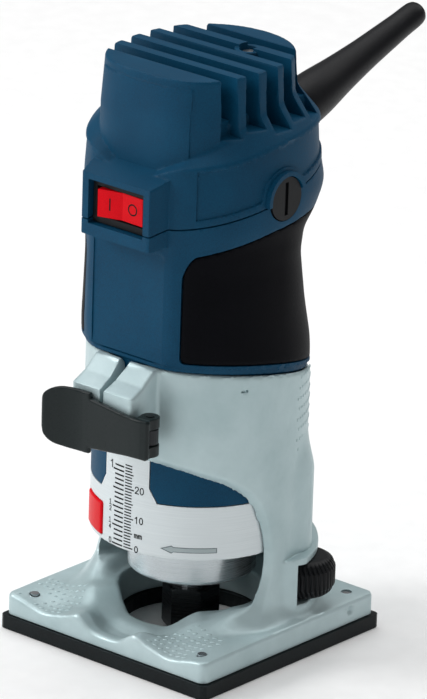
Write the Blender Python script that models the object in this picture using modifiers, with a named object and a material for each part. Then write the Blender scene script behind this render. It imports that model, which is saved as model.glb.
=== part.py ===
"""Trim router: a fixed-base laminate trimmer with a slide-in motor unit.

Run with:  blender --background --python part.py

Everything below is written in millimetres from the spindle axis, which is the
tool's natural datum: X to the operator's right, -Y to the front (scale, clamp
lever and switch), +Z up, Z = 0 on the underside of the sub-base.  A single
parent empty carries that datum to its place under the centre of the whole
object.
"""
import math

import bmesh
import bpy
from mathutils import Matrix, Vector

MM = 0.001
OBJECT = "trim_router"

# ---------------------------------------------------------------- dimensions
DATUM_X = 0.0             # spindle axis, seen from the centre of the outline
DATUM_Y = -28.44
GAP = 0.3                 # clearance between neighbouring pieces

SUB_BASE = 90.0           # square sub-base
SUB_BASE_T = 4.8
CUTTER_HOLE_R = 22.5
PLATE = 88.0              # square foot of the casting
PLATE_Z0, PLATE_Z1 = 5.1, 13.0
CORNER_SCREW = 37.0       # the four sub-base screws sit at +-37, +-37

TOWER_R = 37.2            # clamping tower of the casting
BORE_R = 34.9
TOWER_HOLE_R = 24.0
RIM_Z0, RIM_SLOPE, RIM_CURVE = 100.0, 0.193, 0.00175
WINDOW_X = 36.4
WINDOW_BACK_Y = -7.0
WINDOW_TOP = 71.9
RIB_X, RIB_Y, RIB_R = 28.3, 15.4, 8.0   # vertical rib that holds the adjuster

BOSS_X = 13.0
BOSS_FRONT_Y = -48.0
BOSS_Z0 = 74.0
SPLIT_W = 1.6
BOLT_Y, BOLT_Z, BOLT_R = -43.8, 85.4, 2.0
PIVOT_X = 17.5            # vertical pin of the clamp lever
LEVER_T = 2.2

WHEEL_X, WHEEL_Y, WHEEL_R = 33.0, 18.0, 11.2
SCREW_R = 1.2

BARREL_R = 34.6           # motor unit, the part that slides in the bore
BAND_Z0, BAND_Z1 = 37.7, 56.5
TONGUE_HALF = 16.0        # degrees
FLANGE_R = 21.5
FLANGE_Z0, FLANGE_Z1 = 23.4, 37.4
NECK_R = 6.8
NUT_AF = 17.0
NUT_Z0, NUT_Z1 = 1.5, 16.5
COLLET_BORE_R = 4.0

SEAM_Z, SEAM_SLOPE = 162.0, 0.22        # parting plane of the top cover
TOP_Z = 203.0
FIN_SLOTS = (-18.5, -9.2, 0.2, 9.4, 19.0)
FIN_SLOT_W = 6.0

CAP_Z, CAP_Y, CAP_X, CAP_R = 161.3, -1.5, 36.9, 7.35
ROCK = 7.0                # degrees either side of level
SWITCH_Z = 159.0
ROCKER_PIVOT_Y = -36.0

GRIP_T = 1.6
GRIP_FROM, GRIP_TO = 32.0, 140.0        # degrees from the front

GUARD_ROOT = (0.0, 33.0, 168.3)
GUARD_RISE = 17.6         # degrees
GUARD_LENGTH = 82.83

BUTTON_ANGLE = -31.0      # spindle-lock button, degrees from the front
BUTTON_Z0, BUTTON_Z1 = 39.2, 50.8

# outer form of the motor housing and top cover, level by level:
# z, half width, front depth, back depth, squareness front, squareness back
FORM = (
    (80.0, 36.9, 37.3, 36.9, 2.0, 2.0),
    (101.0, 36.9, 38.2, 36.9, 2.05, 2.0),
    (106.0, 36.6, 39.4, 36.6, 2.15, 2.0),
    (113.0, 35.9, 40.0, 34.8, 2.2, 2.0),
    (120.0, 35.4, 40.0, 32.9, 2.2, 2.0),
    (137.0, 34.5, 40.0, 29.6, 2.2, 2.0),
    (146.0, 35.0, 40.0, 30.6, 2.2, 2.05),
    (152.0, 36.6, 40.0, 35.2, 2.2, 2.15),
    (160.0, 37.0, 40.0, 37.6, 2.2, 2.45),
    (168.6, 36.6, 39.0, 37.3, 2.25, 2.45),
    (176.0, 35.8, 36.4, 36.8, 2.4, 2.4),
    (181.0, 32.4, 34.6, 34.4, 2.7, 2.25),
    (186.0, 28.7, 33.6, 31.3, 2.9, 2.1),
    (203.0, 27.6, 32.4, 29.6, 2.9, 2.1),
)
FRONT_FLAT = 36.5


def rim_z(y):
    """Height of the casting's sloping rim at depth y."""
    return RIM_Z0 - RIM_SLOPE * y - RIM_CURVE * y * y


def seam_z(y):
    return SEAM_Z + SEAM_SLOPE * y


def form_at(z):
    z = min(max(z, FORM[0][0]), FORM[-1][0])
    for lo, hi in zip(FORM, FORM[1:]):
        if z <= hi[0]:
            t = (z - lo[0]) / (hi[0] - lo[0])
            return [a + (b - a) * t for a, b in zip(lo[1:], hi[1:])]
    return list(FORM[-1][1:])


def form_radius(angle, z, inset=0.0):
    """Outer radius of the housing at an angle (degrees from the front)."""
    half, front, back, n_front, n_back = form_at(z)
    s, c = math.sin(math.radians(angle)), math.cos(math.radians(angle))
    depth, n = (front, n_front) if c > 0 else (back, n_back)
    r = (abs(s / half) ** n + abs(c / depth) ** n) ** (-1.0 / n)
    if c > 0:
        r = min(r, FRONT_FLAT / c)
    return r - inset


# ------------------------------------------------------------------- helpers
for old in list(bpy.data.objects):
    bpy.data.objects.remove(old, do_unlink=True)

parts = bpy.data.collections.new(OBJECT)
tools = bpy.data.collections.new(OBJECT + "_cutters")
bpy.context.scene.collection.children.link(parts)
bpy.context.scene.collection.children.link(tools)

datum = bpy.data.objects.new("spindle_datum", None)
datum.location = (DATUM_X * MM, DATUM_Y * MM, 0.0)
datum.empty_display_size = 0.02
parts.objects.link(datum)

COLOURS = {
    "casting": ((0.60, 0.66, 0.66), 0.42, 0.85),
    "machined": ((0.66, 0.70, 0.70), 0.28, 1.0),
    "steel": ((0.42, 0.43, 0.44), 0.30, 1.0),
    "black_steel": ((0.020, 0.022, 0.024), 0.32, 0.6),
    "blue": ((0.010, 0.085, 0.180), 0.45, 0.0),
    "rubber": ((0.008, 0.008, 0.011), 0.65, 0.0),
    "black_plastic": ((0.014, 0.016, 0.017), 0.38, 0.0),
    "red": ((0.75, 0.008, 0.012), 0.30, 0.0),
    "copper": ((0.55, 0.20, 0.08), 0.35, 1.0),
    "carbon": ((0.03, 0.03, 0.03), 0.7, 0.0),
    "laminated_steel": ((0.25, 0.25, 0.26), 0.45, 1.0),
    "brass": ((0.55, 0.40, 0.14), 0.3, 1.0),
}


def material(name, kind):
    colour, rough, metal = COLOURS[kind]
    mat = bpy.data.materials.new(name)
    mat.use_nodes = True
    bsdf = mat.node_tree.nodes["Principled BSDF"]
    bsdf.inputs["Base Color"].default_value = (*colour, 1.0)
    bsdf.inputs["Roughness"].default_value = rough
    bsdf.inputs["Metallic"].default_value = metal
    mat.diffuse_color = (*colour, 1.0)
    return mat


def put(name, mesh, at=(0, 0, 0), kind=None):
    """Link a mesh (already in metres about its own origin) under the datum."""
    obj = bpy.data.objects.new(name, mesh)
    obj.location = Vector(at) * MM
    obj.parent = datum
    if kind is None:
        tools.objects.link(obj)
        obj.hide_render = True
        obj.display_type = "WIRE"
    else:
        parts.objects.link(obj)
        mesh.materials.append(material(name, kind))
        mesh.shade_smooth()
        mesh.set_sharp_from_angle(angle=math.radians(35))
    return obj


def mesh_from(bm, name, at=(0, 0, 0)):
    """Finish a bmesh drawn in datum millimetres: origin moved to `at`."""
    bmesh.ops.translate(bm, verts=bm.verts, vec=-Vector(at))
    bmesh.ops.scale(bm, verts=bm.verts, vec=(MM, MM, MM))
    bmesh.ops.recalc_face_normals(bm, faces=bm.faces)
    mesh = bpy.data.meshes.new(name)
    bm.to_mesh(mesh)
    bm.free()
    return mesh


def box(name, x, y, z, kind=None, at=(0, 0, 0), turn=None):
    bm = bmesh.new()
    bmesh.ops.create_cube(bm, size=1.0)
    bmesh.ops.scale(bm, verts=bm.verts, vec=(x[1] - x[0], y[1] - y[0], z[1] - z[0]))
    bmesh.ops.translate(bm, verts=bm.verts,
                        vec=((x[0] + x[1]) / 2, (y[0] + y[1]) / 2, (z[0] + z[1]) / 2))
    if turn:
        bmesh.ops.rotate(bm, verts=bm.verts, cent=turn[0],
                         matrix=Matrix.Rotation(math.radians(turn[1]), 3, turn[2]))
    return put(name, mesh_from(bm, name, at), at, kind)


def rod(name, r, a, b, kind=None, segments=32, r2=None, at=(0, 0, 0)):
    """Cylinder or cone from point a to point b."""
    a, b = Vector(a), Vector(b)
    bm = bmesh.new()
    bmesh.ops.create_cone(bm, cap_ends=True, segments=segments, radius1=r,
                          radius2=r if r2 is None else r2, depth=(b - a).length)
    turn = Vector((0, 0, 1)).rotation_difference((b - a).normalized()).to_matrix()
    bmesh.ops.rotate(bm, verts=bm.verts, cent=(0, 0, 0), matrix=turn)
    bmesh.ops.translate(bm, verts=bm.verts, vec=(a + b) / 2)
    return put(name, mesh_from(bm, name, at), at, kind)


def prism(name, outline, axis, lo, hi, kind=None, at=(0, 0, 0)):
    """Flat outline pushed along X, Y or Z."""
    place = {"X": lambda p, d: (d, p[0], p[1]), "Y": lambda p, d: (p[0], d, p[1]),
             "Z": lambda p, d: (p[0], p[1], d)}[axis]
    bm = bmesh.new()
    face = bm.faces.new([bm.verts.new(place(p, lo)) for p in outline])
    grown = bmesh.ops.extrude_face_region(bm, geom=[face])
    push = Vector(place((0, 0), hi)) - Vector(place((0, 0), lo))
    bmesh.ops.translate(bm, verts=[v for v in grown["geom"] if isinstance(v, bmesh.types.BMVert)],
                        vec=push)
    return put(name, mesh_from(bm, name, at), at, kind)


def turned(name, profile, kind=None, at=(0, 0, 0), segments=40, closed=False, tilt=None):
    """Profile of (radius, height) points, outer side running downwards, turned
    about the object's own Z axis with a Screw modifier."""
    mesh = bpy.data.meshes.new(name)
    verts = [(r * MM, 0.0, z * MM) for r, z in profile]
    edges = [(i, i + 1) for i in range(len(verts) - 1)]
    if closed:
        edges.append((len(verts) - 1, 0))
    mesh.from_pydata(verts, edges, [])
    obj = put(name, mesh, at, kind)
    screw = obj.modifiers.new("turn", "SCREW")
    screw.steps = screw.render_steps = segments
    screw.use_merge_vertices = True
    screw.merge_threshold = 0.000002
    screw.use_smooth_shade = True
    if tilt is not None:
        obj.rotation_euler = tilt
    return obj


def loft(name, rings, kind=None):
    """Skin over rings of equal count, capped at both ends."""
    bm = bmesh.new()
    rows = [[bm.verts.new(p) for p in ring] for ring in rings]
    n = len(rings[0])
    for lower, upper in zip(rows, rows[1:]):
        for i in range(n):
            bm.faces.new((lower[i], lower[(i + 1) % n], upper[(i + 1) % n], upper[i]))
    bm.faces.new(rows[0][::-1])
    bm.faces.new(rows[-1])
    return put(name, mesh_from(bm, name), (0, 0, 0), kind)


def boolean(obj, tool, operation, solver="EXACT"):
    mod = obj.modifiers.new(tool.name, "BOOLEAN")
    mod.operation = operation
    mod.solver = solver
    mod.object = tool
    return obj


def cut(obj, *cutters):
    for tool in cutters:
        boolean(obj, tool, "DIFFERENCE")
    return obj


def join(obj, *others):
    for tool in others:
        boolean(obj, tool, "UNION")
    return obj


def rounded(obj, width, segments=2, vertical_only=False, angle=30):
    """Bevel an object's edges; with vertical_only, just the upright ones."""
    bev = obj.modifiers.new("round", "BEVEL")
    bev.width = width * MM
    bev.segments = segments
    if vertical_only:
        weights = obj.data.attributes.new("bevel_weight_edge", "FLOAT", "EDGE")
        for i, edge in enumerate(obj.data.edges):
            a, b = (obj.data.vertices[k].co for k in edge.vertices)
            weights.data[i].value = 1.0 if abs(a.x - b.x) + abs(a.y - b.y) < 1e-6 else 0.0
        bev.limit_method = "WEIGHT"
    else:
        bev.limit_method = "ANGLE"
        bev.angle_limit = math.radians(angle)
    return obj


def on_circle(r, angle, z=0.0):
    """Point at a radius and an angle measured from the front towards +X."""
    a = math.radians(angle)
    return (r * math.sin(a), -r * math.cos(a), z)


def sector(name, r0, r1, a0, a1, z0, z1, kind=None, steps=8, at=(0, 0, 0)):
    """Curved block between two radii, two angles and two heights."""
    angles = [a0 + (a1 - a0) * i / steps for i in range(steps + 1)]
    outline = [on_circle(r1, a)[:2] for a in angles] + [on_circle(r0, a)[:2] for a in reversed(angles)]
    return prism(name, outline, "Z", z0, z1, kind, at)


# ------------------------------------------------------------- fixed base
sub_base = rounded(box("sub_base", (-SUB_BASE / 2, SUB_BASE / 2), (-SUB_BASE / 2, SUB_BASE / 2),
                       (0, SUB_BASE_T), "black_plastic"), 1.5, 2, vertical_only=True)
cut(sub_base, rod("cut_sub_hole", CUTTER_HOLE_R, (0, 0, -3), (0, 0, 9), segments=40))

casting = rounded(box("base_casting", (-PLATE / 2, PLATE / 2), (-PLATE / 2, PLATE / 2),
                      (PLATE_Z0, PLATE_Z1), "casting"), 2.6, 2, vertical_only=True)
rim_top = 112.0
join(casting,
     rod("add_tower", TOWER_R, (0, 0, 11.5), (0, 0, rim_top), segments=48),
     rod("add_flare", 41.0, (0, 0, 12.0), (0, 0, 20.0), segments=40, r2=TOWER_R - 0.4),
     turned("add_rib", [(0, 72.0), (5.4, 72.0), (RIB_R, 62.0), (RIB_R, 12.2), (0, 12.2)],
            at=(RIB_X, RIB_Y, 0), segments=28),
     prism("add_boss", [(-31.0, 104.4), (-37.0, 104.6), (-42.4, 100.1), (BOSS_FRONT_Y, 97.4),
                        (BOSS_FRONT_Y, BOSS_Z0), (-31.0, 72.6)], "X", -BOSS_X, BOSS_X))
arch = [(-WINDOW_X, 20.0), (-34.2, 14.4), (-30.0, 12.6), (30.0, 12.6), (34.2, 14.4), (WINDOW_X, 20.0),
        (WINDOW_X, 46.9), (35.0, 58.1), (32.0, 63.2), (26.9, 69.0), (14.1, WINDOW_TOP),
        (-14.1, WINDOW_TOP), (-26.9, 69.0), (-32.0, 63.2), (-35.0, 58.1), (-WINDOW_X, 46.9)]
rim = [(-62.0, rim_z(-48))] + [(y, rim_z(y)) for y in range(-48, 49, 8)] + \
      [(62.0, rim_z(48)), (62.0, 125.0), (-62.0, 125.0)]
cut(casting,
    rod("cut_bore", BORE_R, (0, 0, PLATE_Z1 + 0.8), (0, 0, 130), segments=48),
    rod("cut_plate_hole", TOWER_HOLE_R, (0, 0, 0), (0, 0, 25), segments=40),
    prism("cut_rim", rim, "X", -60, 60),
    prism("cut_window", arch, "Y", -70, WINDOW_BACK_Y),
    prism("cut_trough", [(-15.0, 14.5), (-9.0, 9.2), (9.0, 9.2), (15.0, 14.5)], "Y", -60, -15),
    turned("cut_wheel", [(0, 31.2), (9.0, 31.2), (11.9, 28.0), (11.9, 17.0), (0, 17.0)],
           at=(WHEEL_X, WHEEL_Y, 0), segments=36),
    rod("cut_adjust_screw", SCREW_R + GAP, (WHEEL_X, WHEEL_Y, 11.0), (WHEEL_X, WHEEL_Y, 61.5), segments=16),
    box("cut_carriage_slot", (-3.2, 3.2), (-39.2, -30.0), (40.0, 60.0),
        turn=((0, 0, 0), 180 - math.degrees(math.atan2(WHEEL_X, WHEEL_Y)), "Z")),
    box("cut_split", (-SPLIT_W / 2, SPLIT_W / 2), (-60, -30), (60, 130)),
    rod("cut_bolt", BOLT_R + GAP, (-20, BOLT_Y, BOLT_Z), (20, BOLT_Y, BOLT_Z), segments=20),
    sector("cut_button_way", 33.5, 35.8, BUTTON_ANGLE - 13, BUTTON_ANGLE + 12, 60, 130, steps=4))
for sx in (-1, 1):
    for sy in (-1, 1):
        cut(casting, rod(f"cut_corner_{sx}_{sy}", 1.8, (sx * CORNER_SCREW, sy * CORNER_SCREW, 0),
                         (sx * CORNER_SCREW, sy * CORNER_SCREW, 20), segments=16))
        cut(sub_base, turned(f"cut_sink_{sx}_{sy}", [(0, 8), (1.8, 8), (1.8, 3.2), (3.5, 1.5), (3.5, -2), (0, -2)],
                             at=(sx * CORNER_SCREW, sy * CORNER_SCREW, 0), segments=12))

for index, (sx, sy) in enumerate(((-1, -1), (1, -1), (1, 1), (-1, 1)), 1):
    turned(f"sub_base_screw_{index}", [(0, 12.2), (1.5, 12.2), (1.5, 3.1), (3.2, 1.4), (3.2, 0.6), (0, 0.6)],
           "steel", at=(sx * CORNER_SCREW, sy * CORNER_SCREW, 0), segments=16)

# clamp bolt: eye for the lever pin on the right, thread and nut on the left
clamp_bolt = rod("clamp_bolt", BOLT_R, (-19.2, BOLT_Y, BOLT_Z), (16.0, BOLT_Y, BOLT_Z), "steel", segments=16)
join(clamp_bolt, rod("add_bolt_eye", 3.0, (PIVOT_X, BOLT_Y, 82.9), (PIVOT_X, BOLT_Y, 87.9), segments=20))
cut(clamp_bolt, rod("cut_bolt_eye", 1.5 + GAP, (PIVOT_X, BOLT_Y, 80), (PIVOT_X, BOLT_Y, 91), segments=16))
clamp_nut = rod("clamp_nut", 3.9, (-17.2, BOLT_Y, BOLT_Z), (-14.1, BOLT_Y, BOLT_Z), "steel", segments=6)
cut(clamp_nut, rod("cut_nut_bore", BOLT_R + GAP, (-25, BOLT_Y, BOLT_Z), (-5, BOLT_Y, BOLT_Z), segments=16))
clamp_washer = rod("clamp_washer", 4.0, (-13.8, BOLT_Y, BOLT_Z), (-13.3, BOLT_Y, BOLT_Z), "steel", segments=20)
cut(clamp_washer, rod("cut_washer_bore", BOLT_R + GAP, (-25, BOLT_Y, BOLT_Z), (-5, BOLT_Y, BOLT_Z), segments=16))
rod("lever_pin", 1.5, (PIVOT_X, BOLT_Y, 78.2), (PIVOT_X, BOLT_Y, 92.4), "steel", segments=16)

# ------------------------------------------------------------- clamp lever
inner = [(20.6, -47.6), (19.0, -48.4), (-4.0, -48.4), (-8.0, -48.9), (-11.5, -50.2),
         (-14.9, -52.1), (-17.6, -54.2)]
plan = list(inner)
for i in range(len(inner) - 1, -1, -1):
    a = Vector(inner[max(i - 1, 0)])
    b = Vector(inner[min(i + 1, len(inner) - 1)])
    run = (b - a).normalized()
    plan.append((inner[i][0] + run.y * LEVER_T, inner[i][1] - run.x * -LEVER_T))
pivot = (PIVOT_X, BOLT_Y, BOLT_Z)
lever = prism("clamp_lever", plan, "Z", 70, 100, "black_steel", at=pivot)
boolean(lever, prism("shape_lever", [(24, 79.0), (13, 78.6), (-3.0, 76.9), (-4.2, 75.0), (-10, 75.0), (-15.5, 77.5),
                                     (-19, 82.0), (-20.2, 87.0), (-19, 92.0), (-16.0, 95.4), (-12.5, 96.2), (-4.2, 96.2),
                                     (-3.0, 94.3), (13, 92.4), (24, 92.0)], "Y", -60, -40), "INTERSECT")
web = [(PIVOT_X - 2.6, -44.6), (PIVOT_X - 2.6, -49.0), (PIVOT_X + 2.9, -49.0), (PIVOT_X + 2.9, -44.6)]
for tag, z0, z1 in (("low", 78.7, 82.5), ("high", 88.3, 92.1)):
    join(lever, rod(f"add_knuckle_{tag}", 3.3, (PIVOT_X, BOLT_Y, z0), (PIVOT_X, BOLT_Y, z1), segments=20),
         prism(f"add_web_{tag}", web, "Z", z0, z1))
cut(lever, rod("cut_lever_pin", 1.5 + GAP, (PIVOT_X, BOLT_Y, 70), (PIVOT_X, BOLT_Y, 100), segments=16))

# ------------------------------------------------------------- fine adjuster
wheel_at = (WHEEL_X, WHEEL_Y, 0)
wheel_r = WHEEL_R
bm = bmesh.new()
teeth = 24
outline = []
for i in range(teeth):
    for da, r in ((0.0, wheel_r - 0.55), (0.34, wheel_r - 0.55), (0.5, wheel_r), (0.84, wheel_r)):
        a = 2 * math.pi * (i + da) / teeth
        outline.append((WHEEL_X + r * math.cos(a), WHEEL_Y + r * math.sin(a)))
bm.free()
adjust_wheel = prism("adjust_wheel", outline, "Z", 20.6, 27.6, "black_plastic", at=wheel_at)
join(adjust_wheel, turned("add_wheel_crown", [(0, 30.6), (8.2, 30.6), (10.2, 29.4), (10.9, 27.2), (10.9, 21.0),
                                              (10.2, 18.9), (8.6, 17.6), (0, 17.6)], at=wheel_at, segments=24))
cut(adjust_wheel, rod("cut_wheel_bore", SCREW_R + GAP, (WHEEL_X, WHEEL_Y, 10), (WHEEL_X, WHEEL_Y, 40), segments=16))
rod("adjust_screw", SCREW_R, (WHEEL_X, WHEEL_Y, 11.6), (WHEEL_X, WHEEL_Y, 61.0), "steel", segments=12, at=wheel_at)
wheel_turn = 180 - math.degrees(math.atan2(WHEEL_X, WHEEL_Y))
carriage = box("adjust_carriage", (-2.9, 2.9), (-38.9, -35.3), (42.0, 49.0), "steel",
               turn=((0, 0, 0), wheel_turn, "Z"))
cut(carriage, rod("cut_carriage_bore", SCREW_R + GAP, (WHEEL_X, WHEEL_Y, 30), (WHEEL_X, WHEEL_Y, 70), segments=12))

# ------------------------------------------------------------- motor unit, lower end
band = turned("gear_end_casing", [(17.8, BAND_Z0 + 4.0), (17.8, BAND_Z0), (33.6, BAND_Z0), (BARREL_R, BAND_Z0 + 1.0),
                                  (BARREL_R, BAND_Z1), (30.8, BAND_Z1), (30.8, BAND_Z0 + 4.0)][::-1],
              "machined", segments=44, closed=True)
tongue_z1 = 97.0
join(band, sector("add_tongue", 33.2, BARREL_R, -17, 15, BAND_Z0 + 6, tongue_z1, steps=6))
button_out = Vector(on_circle(1.0, BUTTON_ANGLE))


def button_outline(half, r_in, r_out):
    """Plan of the button: parallel sides, curved outer face, flat inner end."""
    side = Vector((-button_out.y, button_out.x, 0))
    reach = math.asin(half / r_out)
    rim_points = [button_out * (r_out * math.cos(reach * k / 3)) + side * (r_out * math.sin(reach * k / 3))
                  for k in range(-3, 4)]
    ends = [button_out * r_in + side * half, button_out * r_in - side * half]
    return [p[:2] for p in rim_points + ends]


cut(band, prism("cut_button_window", button_outline(7.2, 28.0, 38.0), "Z", BUTTON_Z0 - GAP, BUTTON_Z1 + GAP))

turned("bearing_flange", [(6.95, 26.6), (6.95, FLANGE_Z0), (20.0, FLANGE_Z0), (FLANGE_R, FLANGE_Z0 + 1.5),
                          (FLANGE_R, FLANGE_Z1), (17.5, FLANGE_Z1), (17.5, 43.0), (14.2, 43.0), (14.2, 26.6)][::-1],
       "machined", segments=36, closed=True)
turned("lower_bearing", [(6.1, 36.9), (6.1, 26.9), (13.9, 26.9), (13.9, 36.9)][::-1], "steel", segments=24, closed=True)
turned("bearing_retainer", [(8.0, 40.2), (8.0, 37.4), (13.9, 37.4), (13.9, 40.2)][::-1], "steel", segments=20, closed=True)

# spindle-lock button: a curved face on a stem that slides in towards the axis
lock_button = prism("spindle_lock_button", button_outline(6.9, 32.0, 35.2), "Z", BUTTON_Z0, BUTTON_Z1, "red",
                    at=on_circle(34, BUTTON_ANGLE, 45.0))
join(lock_button, rod("add_button_stem", 2.2, button_out * 20.5 + Vector((0, 0, 47.0)),
                      button_out * 33.0 + Vector((0, 0, 47.0)), segments=14))

# ------------------------------------------------------------- motor housing
ANGLES = [-180 + 360 * (i + 0.5) / 48 for i in range(48)]


def form_ring(z, inset=0.0):
    return [on_circle(form_radius(a, z, inset), a, z) for a in ANGLES]


housing = loft("motor_housing", [form_ring(z) for z in (84, 101, 106, 113, 120, 129, 137, 146, 152, 160,
                                                         168.6, 176)], "blue")
BOSS = [(-30, 148.4), (-43.5, 147.0), (-43.5, 168.5), (-37.0, 171.5), (-30, 173.0)]
join(housing, prism("add_boss_foot", BOSS, "X", -14.5, 14.5))
low = [(y, rim_z(y) + 0.6) for y in range(-48, 49, 8)]
cut(housing,
    prism("cut_housing_foot", [(-62.0, 60.0)] + [(-62.0, rim_z(-48) + 0.6)] + low +
          [(62.0, rim_z(48) + 0.6), (62.0, 60.0)], "X", -60, 60),
    box("cut_above_seam", (-70, 70), (-70, 70), (SEAM_Z - GAP / 2, 230),
        turn=((0, 0, SEAM_Z), math.degrees(math.atan(SEAM_SLOPE)), "X")))
join(housing, rod("add_barrel", BARREL_R, (0, 0, BAND_Z1 + GAP), (0, 0, 112), segments=44))
cut(housing,
    turned("cut_housing_bore", [(0, 190), (30.0, 190), (30.0, 155), (26.4, 149), (26.4, 108), (31.2, 103),
                                (31.2, 50), (0, 50)], segments=32),
    sector("cut_tongue_seat", 32.9, 38.0, -17.6, 15.6, 50, tongue_z1 + GAP, steps=6))

cover = loft("top_cover", [form_ring(z) for z in (145, 152, 160, 168.6, 176, 181, 186, TOP_Z - 1)] +
             [form_ring(TOP_Z, 1.2)], "blue")
join(cover, prism("add_switch_boss", BOSS, "X", -14.5, 14.5),
     rod("add_cap_ring_right", 9.2, (30, CAP_Y, CAP_Z), (37.6, CAP_Y, CAP_Z), segments=28),
     rod("add_cap_ring_left", 9.2, (-30, CAP_Y, CAP_Z), (-37.6, CAP_Y, CAP_Z), segments=28))
cut(cover,
    box("cut_below_seam", (-70, 70), (-70, 70), (90, SEAM_Z + GAP / 2),
        turn=((0, 0, SEAM_Z), math.degrees(math.atan(SEAM_SLOPE)), "X")),
    turned("cut_cover_bore", [(0, 176), (27.0, 176), (30.4, 168), (30.4, 120), (0, 120)], segments=32),
    turned("cut_cover_well", [(0, 184), (19.0, 184), (19.0, 165), (0, 165)], segments=28))
rise = math.radians(GUARD_RISE)
guard_axis = Vector((0, math.cos(rise), math.sin(rise)))
guard_root = Vector(GUARD_ROOT)
guard_way = rod("cut_guard_way", 8.35, guard_root - guard_axis * 12, guard_root + guard_axis * 27, segments=26)
boolean(cover, guard_way, "DIFFERENCE", "MANIFOLD")
cut(housing, guard_way)
for index, y in enumerate(FIN_SLOTS):
    cut(cover, prism(f"cut_slot_{index}", [(-60, 180.5), (-23, 181.5), (-23, 188), (23, 188), (23, 181.5), (60, 180.5),
                                           (60, 220), (-60, 220)], "Y", y - FIN_SLOT_W / 2, y + FIN_SLOT_W / 2))

# brush bores go through the seam: both shells share them
for side, sx in (("right", 1), ("left", -1)):
    bore = rod(f"cut_brush_{side}", CAP_R + GAP, (sx * 22, CAP_Y, CAP_Z), (sx * 50, CAP_Y, CAP_Z), segments=28)
    cut(housing, bore)
    cut(cover, bore)
    cap = rod(f"brush_cap_{side}", CAP_R, (sx * 30.5, CAP_Y, CAP_Z), (sx * CAP_X, CAP_Y, CAP_Z), "black_plastic", segments=28)
    cut(cap, box(f"cut_cap_slot_{side}", (sx * 36.0, sx * 39.0) if sx > 0 else (-39.0, -36.0),
                 (CAP_Y - 0.8, CAP_Y + 0.8), (CAP_Z - 5.6, CAP_Z + 5.6)))
    span = (13.4, 30.0) if sx > 0 else (-30.0, -13.4)
    holder = box(f"brush_holder_{side}", span, (CAP_Y - 4.6, CAP_Y + 4.6), (CAP_Z - 5.6, CAP_Z + 5.6), "brass")
    cut(holder, box(f"cut_holder_{side}", (min(span) - 3, max(span) + 3), (CAP_Y - 3.6, CAP_Y + 3.6),
                    (CAP_Z - 4.6, CAP_Z + 4.6)))
    reach = (10.9, 22.5) if sx > 0 else (-22.5, -10.9)
    box(f"carbon_brush_{side}", reach, (CAP_Y - 3.3, CAP_Y + 3.3), (CAP_Z - 4.3, CAP_Z + 4.3), "carbon")
    turns, count = 4, 33
    curve = bpy.data.curves.new(f"brush_spring_{side}", "CURVE")
    curve.dimensions = "3D"
    curve.bevel_depth = 0.35 * MM
    curve.bevel_resolution = 1
    curve.use_fill_caps = True
    line = curve.splines.new("POLY")
    line.points.add(count - 1)
    for i in range(count):
        t = i / (count - 1)
        a = 2 * math.pi * turns * t
        line.points[i].co = (sx * (23.3 + 6.3 * t) * MM, (CAP_Y + 2.3 * math.cos(a)) * MM,
                             (CAP_Z + 2.3 * math.sin(a)) * MM, 1)
    spring = bpy.data.objects.new(f"brush_spring_{side}", curve)
    spring.parent = datum
    curve.materials.append(material(f"brush_spring_{side}", "steel"))
    parts.objects.link(spring)


# ------------------------------------------------------------- rubber grips


def grip_low(angle):
    y = form_radius(angle, 105.0) * -math.cos(math.radians(angle))
    return rim_z(y) + 4.0


def grip_high(angle):
    if angle < 40:
        return 141.0 + 4.0 * math.sin(math.radians(90 * (angle - GRIP_FROM) / 8.0))
    if angle < 78:
        return 145.0 + 5.4 * (angle - 40) / 38.0
    return 150.4 + 0.08 * min(angle - 78, 30)


def grip_patch(name, sx, outer, inner, margin, kind=None):
    """Shell over the housing side between two insets, with its border grown by
    `margin`."""
    columns, rows = 13, 6
    spread = math.degrees(margin / 35.0)
    layers = []
    for inset in (outer, inner):
        grid = []
        for i in range(columns + 1):
            t = i / columns
            angle = (GRIP_FROM - spread) + (GRIP_TO - GRIP_FROM + 2 * spread) * t
            inside = min(max(angle, GRIP_FROM), GRIP_TO)
            z0, z1 = grip_low(inside) - margin, grip_high(inside) + margin
            column = []
            for j in range(rows + 1):
                z = z0 + (z1 - z0) * j / rows
                column.append(on_circle(form_radius(angle, z, inset), sx * angle, z))
            grid.append(column)
        layers.append(grid)
    bm = bmesh.new()
    out = [[bm.verts.new(p) for p in column] for column in layers[0]]
    inn = [[bm.verts.new(p) for p in column] for column in layers[1]]
    for i in range(columns):
        for j in range(rows):
            bm.faces.new((out[i][j], out[i + 1][j], out[i + 1][j + 1], out[i][j + 1]))
            bm.faces.new((inn[i][j], inn[i][j + 1], inn[i + 1][j + 1], inn[i + 1][j]))
        bm.faces.new((out[i][0], inn[i][0], inn[i + 1][0], out[i + 1][0]))
        bm.faces.new((out[i][rows], out[i + 1][rows], inn[i + 1][rows], inn[i][rows]))
    for j in range(rows):
        bm.faces.new((out[0][j], out[0][j + 1], inn[0][j + 1], inn[0][j]))
        bm.faces.new((out[columns][j], inn[columns][j], inn[columns][j + 1], out[columns][j + 1]))
    return put(name, mesh_from(bm, name), (0, 0, 0), kind)


for side, sx in (("right", 1), ("left", -1)):
    grip_patch(f"grip_{side}", sx, 0.0, GRIP_T, 0.0, "rubber")
    cut(housing, grip_patch(f"cut_grip_{side}", sx, -3.0, GRIP_T + GAP, GAP))

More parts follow.
